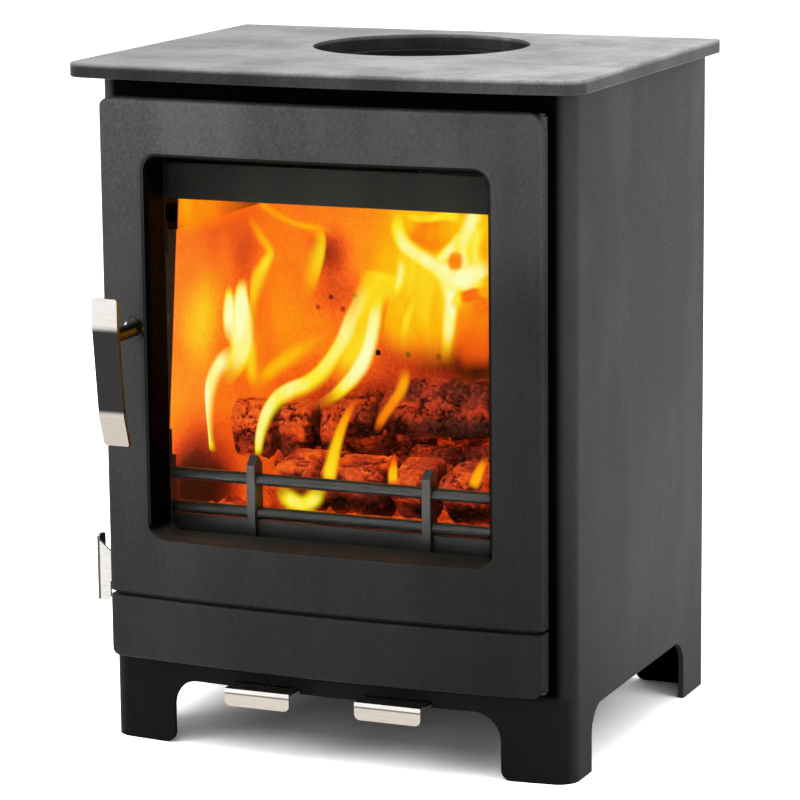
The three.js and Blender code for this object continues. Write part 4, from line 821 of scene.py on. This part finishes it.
# each tongue hangs in the fire at its depths in mm, foot to tip, and its path is (u, v, half
# width, heat) points of the picture; edges are how soft its left and right sides are, ends
# how soft its foot and tip are, and solid how much it hides, 1 unless it is given
tongues = {
    "corner_veil": {
        "depth": (-100, -100), "edges": (0.12, 0.7), "ends": (0.04, 0.5), "path": (
            (177.5, 215, 18, 0.58), (186, 215, 18, 0.66), (200, 213, 19, 0.6), (222, 208, 20, 0.55),
            (250, 203, 18, 0.54), (290, 203, 12, 0.56))},
    "left_white": {
        "depth": (-20, -40), "edges": (0.5, 0.4), "ends": (0.3, 0.15), "path": (
            (222, 388, 4, 0.8), (234, 368, 8, 0.92), (240, 350, 9, 0.96), (241, 330, 9.5, 1.0),
            (241, 310, 8, 1.0), (241, 294, 5.5, 0.98), (243, 277, 3, 0.9))},
    "left_spill": {
        "depth": (-18, -18), "edges": (0.9, 0.9), "ends": (0.3, 0.3), "solid": 0.9, "path": (
            (256, 392, 5, 0.6), (252, 372, 7, 0.78), (250, 350, 7, 0.82), (254, 330, 4, 0.7))},
    "left_hook": {
        "depth": (-30, -40), "edges": (0.35, 1.2), "ends": (0.12, 0.2), "path": (
            (216, 452, 2.5, 0.75), (210, 441, 4, 0.9), (208, 425, 5, 0.95), (208.5, 408, 5, 0.97),
            (211, 390, 5.5, 0.97), (217, 373, 6.5, 0.96), (227, 360, 8, 0.95),
            (237, 350, 8, 0.95))},
    "left_peak": {
        "depth": (-42, -42), "edges": (0.6, 0.6), "ends": (0.3, 0.3), "path": (
            (231, 345, 5, 0.96), (229, 318, 5.5, 1.0), (229, 300, 4.5, 0.97),
            (229, 284, 2.5, 0.86))},
    "left_veil": {
        "depth": (60, 60), "edges": (0.9, 0.9), "ends": (0.3, 0.4), "solid": 0.85, "path": (
            (262, 390, 14, 0.56), (252, 350, 12, 0.7), (250, 310, 8, 0.76), (257, 280, 8, 0.84),
            (266, 262, 6, 0.88), (270, 252, 5, 0.78), (262, 238, 5, 0.72), (250, 220, 5, 0.64),
            (230, 205, 7, 0.6), (222, 196, 8, 0.58))},
    "high_line": {
        "depth": (84, 84), "edges": (0.9, 0.9), "ends": (0.1, 0.3), "solid": 0.8, "path": (
            (256, 200, 5, 0.68), (276, 214, 5, 0.7), (294, 223, 4, 0.72), (316, 228, 4, 0.68),
            (345, 233, 6, 0.6))},
    "mid_edge": {
        "depth": (90, 90), "edges": (1.5, 0.25), "ends": (0.4, 0.3), "solid": 0.9, "path": (
            (303, 320, 8, 0.6), (304, 295, 8, 0.66), (309, 275, 8, 0.76), (314, 255, 8, 0.82),
            (318, 240, 6, 0.76), (312, 231, 7, 0.66), (290, 232, 7, 0.6))},
    "mid_wisp": {
        "depth": (40, 70), "edges": (0.9, 0.9), "ends": (0.3, 0.4), "solid": 0.9, "path": (
            (248, 392, 6, 0.62), (266, 375, 8, 0.74), (286, 359, 9, 0.76), (308, 345, 8, 0.74),
            (336, 327, 7, 0.64))},
    "long_s": {
        "depth": (-122, -40), "edges": (0.35, 0.9), "ends": (0.05, 0.3), "path": (
            (258.5, 458, 2.5, 0.86), (260, 440, 4, 0.9), (264, 424, 5, 0.92), (270, 410, 6, 0.94),
            (280, 398, 7, 0.95), (292, 391, 7.5, 0.94), (307, 385, 7.5, 0.92),
            (322, 374, 7.5, 0.92), (334, 358, 7, 0.94), (345, 340, 7, 0.95), (352, 322, 7, 0.95),
            (362, 303, 8, 0.95), (370, 285, 9, 0.92), (378, 271, 9, 0.86))},
    "second_s": {
        "depth": (-60, -30), "edges": (0.4, 0.7), "ends": (0.25, 0.25), "path": (
            (312, 408, 4, 0.62), (332, 398, 5, 0.82), (348, 384, 6, 0.93), (361, 367, 6.5, 1.0),
            (369, 348, 6, 1.0), (374, 326, 6, 0.97), (378, 306, 6, 0.92), (386, 286, 7, 0.86))},
    "s_filling": {
        "depth": (20, 20), "edges": (0.5, 0.7), "ends": (0.3, 0.3), "solid": 0.95, "path": (
            (335, 392, 8, 0.72), (350, 368, 13, 0.82), (360, 345, 13, 0.84), (366, 320, 12, 0.82),
            (376, 292, 14, 0.84), (384, 272, 12, 0.8))},
    "third": {
        "depth": (-120, -70), "edges": (0.6, 0.6), "ends": (0.1, 0.4), "path": (
            (328, 484, 6, 0.84), (332, 462, 6, 0.84), (337, 442, 5, 0.76), (344, 422, 4, 0.66),
            (353, 404, 3, 0.54), (360, 394, 2, 0.45))},
    "fourth": {
        "depth": (-60, -40), "edges": (0.7, 0.7), "ends": (0.2, 0.3), "solid": 0.95, "path": (
            (376, 433, 3, 0.5), (382, 419, 4.5, 0.58), (392, 404, 5, 0.62), (401, 390, 5.5, 0.68),
            (405, 376, 5, 0.68), (402, 365, 6, 0.56))},
    "small_front": {
        "depth": (-124, -118), "edges": (0.5, 0.5), "ends": (0.2, 0.4), "path": (
            (392.5, 484, 4, 0.8), (393, 472, 4, 0.78), (394, 460, 2.5, 0.5), (394, 450, 2, 0.32))},
    "small_right": {
        "depth": (-124, -110), "edges": (0.6, 0.6), "ends": (0.2, 0.4), "path": (
            (472, 489, 5, 0.7), (477, 477, 5, 0.72), (482, 466, 4, 0.66), (487, 456, 3, 0.56))},
    "blob": {
        "depth": (-124, -122), "edges": (0.7, 0.7), "ends": (0.3, 0.3), "path": (
            (280, 482, 5, 0.76), (287, 497, 8, 0.88), (302, 504, 8, 0.9), (315, 497, 8, 0.9),
            (323, 480, 5, 0.8))},
    "upper_loop": {
        "depth": (0, 20), "edges": (0.7, 0.7), "ends": (0.15, 0.2), "path": (
            (405, 206, 6, 0.86), (399, 217, 6.5, 0.9), (398, 230, 7, 0.94), (403, 243, 7, 0.97),
            (414, 253, 7, 0.97), (428, 262, 7.5, 0.97), (441, 270, 10, 0.98), (450, 283, 10, 1.0),
            (451, 298, 7.5, 1.0), (450, 315, 6.5, 1.0), (448, 333, 6, 0.95), (446, 352, 5, 0.84),
            (446, 366, 4, 0.7))},
    "hub": {
        "depth": (-6, -6), "edges": (0.6, 0.6), "ends": (0.3, 0.3), "path": (
            (442, 272, 8, 0.94), (455, 279, 11, 1.0), (468, 277, 10, 1.0), (480, 270, 9, 0.98),
            (492, 263, 8, 0.94))},
    "right_branch": {
        "depth": (0, 10), "edges": (0.8, 0.8), "ends": (0.2, 0.2), "path": (
            (463, 281, 8, 0.96), (464, 262, 7, 0.93), (463, 247, 8, 0.9), (467, 232, 8, 0.92),
            (474, 218, 9, 0.94), (480, 208, 9, 0.92))},
    "pocket_edge": {
        "depth": (4, 10), "edges": (0.7, 0.7), "ends": (0.2, 0.2), "path": (
            (436, 264, 5, 0.94), (446, 254, 6, 0.93), (456, 244, 6.5, 0.9), (463, 232, 7, 0.88))},
    "top_arc": {
        "depth": (14, 14), "edges": (0.8, 0.8), "ends": (0.2, 0.2), "solid": 0.95, "path": (
            (404, 214, 5, 0.86), (416, 218, 5, 0.84), (432, 218, 5, 0.84), (450, 216, 6, 0.82),
            (462, 222, 6, 0.84))},
    "right_edge": {
        "depth": (6, 10), "edges": (0.8, 0.8), "ends": (0.2, 0.3), "solid": 0.95, "path": (
            (478, 272, 8, 0.93), (474, 250, 8, 0.86), (478, 232, 9, 0.86), (484, 214, 9, 0.84))},
    "low_rim": {
        "depth": (0, 0), "edges": (0.5, 0.9), "ends": (0.2, 0.3), "path": (
            (456, 312, 5, 0.86), (459, 298, 5, 0.9), (466, 290, 4.5, 0.92), (478, 285, 4.5, 0.9),
            (490, 284, 5, 0.86))},
    "yellow_sheet": {
        "depth": (50, 50), "edges": (0.35, 0.25), "ends": (0.3, 0.1), "solid": 0.95, "path": (
            (424, 372, 20, 0.6), (424, 350, 28, 0.7), (422, 325, 34, 0.76), (420, 300, 40, 0.78),
            (424, 275, 48, 0.8), (436, 250, 50, 0.78), (442, 225, 50, 0.76), (444, 200, 52, 0.78))},
    "dome": {
        "depth": (30, 30), "edges": (0.5, 0.5), "ends": (0.4, 0.2), "solid": 0.95, "path": (
            (384, 312, 8, 0.76), (384, 296, 14, 0.84), (384, 282, 19, 0.86), (386, 270, 16, 0.84))},
    "wisp_a": {
        "depth": (24, 24), "edges": (0.9, 0.9), "ends": (0.4, 0.4), "solid": 0.9, "path": (
            (392, 304, 4, 0.8), (398, 286, 5, 0.9), (401, 268, 5, 0.92), (398, 250, 5, 0.88))},
    "wisp_b": {
        "depth": (24, 24), "edges": (0.9, 0.9), "ends": (0.4, 0.4), "solid": 0.9, "path": (
            (404, 352, 5, 0.72), (405, 330, 5.5, 0.84), (411, 308, 5, 0.86), (420, 288, 5, 0.82))},
    "amber_streak": {
        "depth": (18, 18), "edges": (0.9, 0.9), "ends": (0.4, 0.4), "solid": 0.85, "path": (
            (379, 342, 2, 0.56), (381, 324, 3, 0.52), (384, 308, 3.5, 0.52), (389, 294, 3, 0.6))},
    "pocket": {
        "depth": (16, 16), "edges": (0.5, 0.5), "ends": (0.25, 0.25), "path": (
            (409, 224, 8, 0.62), (420, 231, 12, 0.58), (434, 234, 16, 0.6), (448, 231, 12, 0.66),
            (458, 226, 6, 0.72))},
    "small_pocket": {
        "depth": (-8, -8), "edges": (0.6, 0.6), "ends": (0.3, 0.3), "path": (
            (455, 272, 4, 0.66), (455.5, 261, 6.5, 0.56), (457, 250, 4, 0.66))},
    "low_pocket": {
        "depth": (-4, -4), "edges": (0.6, 0.6), "ends": (0.3, 0.3), "path": (
            (458, 298, 4, 0.66), (466, 296, 6, 0.5), (475, 294, 6, 0.5), (482, 292, 4, 0.62))},
    "right_low": {
        "depth": (40, 40), "edges": (0.6, 0.4), "ends": (0.3, 0.3), "solid": 0.9, "path": (
            (474, 372, 12, 0.4), (474, 350, 15, 0.48), (472, 325, 16, 0.58), (474, 304, 15, 0.68))},
}
# points along a tongue and across it; bulge and wave (mm) bend its sheet, spread widens it, and
# its heat falls from the peak to the sides and at the ends
tongueLook = {"along": 9, "across": 12, "bulge": 0.7, "wave": 1.5, "waves": 9, "spread": 1.45,
              "cooler": 0.16, "coolEnds": 0.06, "peak": 0.6}


# a smooth curve through the path's points
def curveThrough(path, steps):
    points = []
    last = len(path) - 1
    for number in range(last):
        four = [path[max(0, min(last, number + shift))] for shift in (-1, 0, 1, 2)]
        for step in range(steps + (number == last - 1)):
            t = step / steps
            points.append([0.5 * (2 * b + (c - a) * t + (2 * a - 5 * b + 4 * c - d) * t * t
                                  + (3 * b - a - 3 * c + d) * t * t * t)
                           for a, b, c, d in zip(*four)])
    return points


def makeTongue(name, tongue):
    centre = curveThrough(tongue["path"], tongueLook["along"])
    count, across = len(centre), tongueLook["across"]
    points, field, faces = [], [], []
    near, far = tongue["depth"]
    softLeft, softRight = tongue["edges"]
    softFoot, softTip = tongue["ends"]
    peak = (softLeft - softRight) / (softLeft + softRight) * tongueLook["peak"]
    for number, (u, v, half, heat) in enumerate(centre):
        before, after = centre[max(0, number - 1)], centre[min(count - 1, number + 1)]
        du, dv = after[0] - before[0], after[1] - before[1]
        length = math.hypot(du, dv) or 1
        part = number / (count - 1)
        reach = max(half, 1.0) * tongueLook["spread"]
        ends = ease(part / softFoot) * ease((1 - part) / softTip)
        for step in range(across + 1):
            s = 2 * step / across - 1
            lean = tongueLook["bulge"] * half * (s * s - 0.5)
            lean += tongueLook["wave"] * math.sin(part * tongueLook["waves"] + s)
            points.append(onPicture(u - dv / length * s * reach, v + du / length * s * reach,
                                    near + (far - near) * part + lean))
            sides = ease((s + 1) / softLeft) * ease((1 - s) / softRight)
            drop = min(1.0, abs(s - peak) / (1 + abs(peak)))
            cooled = tongueLook["cooler"] * drop ** 2 + tongueLook["coolEnds"] * (1 - ends)
            field.append((heat - cooled, sides * ends * tongue.get("solid", 1.0)))
    for number in range(count - 1):
        for step in range(across):
            first = number * (across + 1) + step
            faces.append((first, first + 1, first + across + 2, first + across + 1))
    addPiece("flame_" + name, points, faces, flame, "flame", field)


for tongueName, tongue in tongues.items():
    makeTongue(tongueName, tongue)

# a white floor: the paper lit by the lamps, how it looks from the camera, how bright metal mirrors
# it, and a painted shadow in the box under the stove (corners and soft distance in mm)
floorLook = {"half": 9.0, "paper": 0.8, "seen": 3.4, "shine": 1.35, "shade": 0.9,
             "under": ((-140, -150, -300), (150, 80, 300), 120.0)}


def makeFloor():
    size = floorLook["half"]
    mesh = bpy.data.meshes.new("floor")
    corners = [(-size, -size, 0), (size, -size, 0), (size, size, 0), (-size, size, 0)]
    mesh.from_pydata(corners, [], [(0, 1, 2, 3)])
    material, tree, shader = newFinish("pale floor", {"Roughness": 1.0, "Specular IOR Level": 0.0})
    path = addNode(tree, "LightPath").outputs
    looking = addMath(tree, "MAXIMUM", path["Is Camera Ray"], path["Is Transmission Ray"])
    paper, seen, shine, shade = ((floorLook[look],) * 3
                                 for look in ("paper", "seen", "shine", "shade"))
    mirrored = addMix(tree, path["Is Glossy Ray"], paper, shine)
    # painted shadow: the floor is darker in the box under the stove
    under = addBoxMask(tree, addCoords(tree), *floorLook["under"])
    shaded = addMix(tree, under, seen, shade)
    tree.links.new(addMix(tree, looking, mirrored, shaded), shader.inputs["Base Color"])
    mesh.materials.append(material)
    floor = bpy.data.objects.new("floor", mesh)
    bpy.context.scene.collection.objects.link(floor)


makeFloor()

print("stove: done")
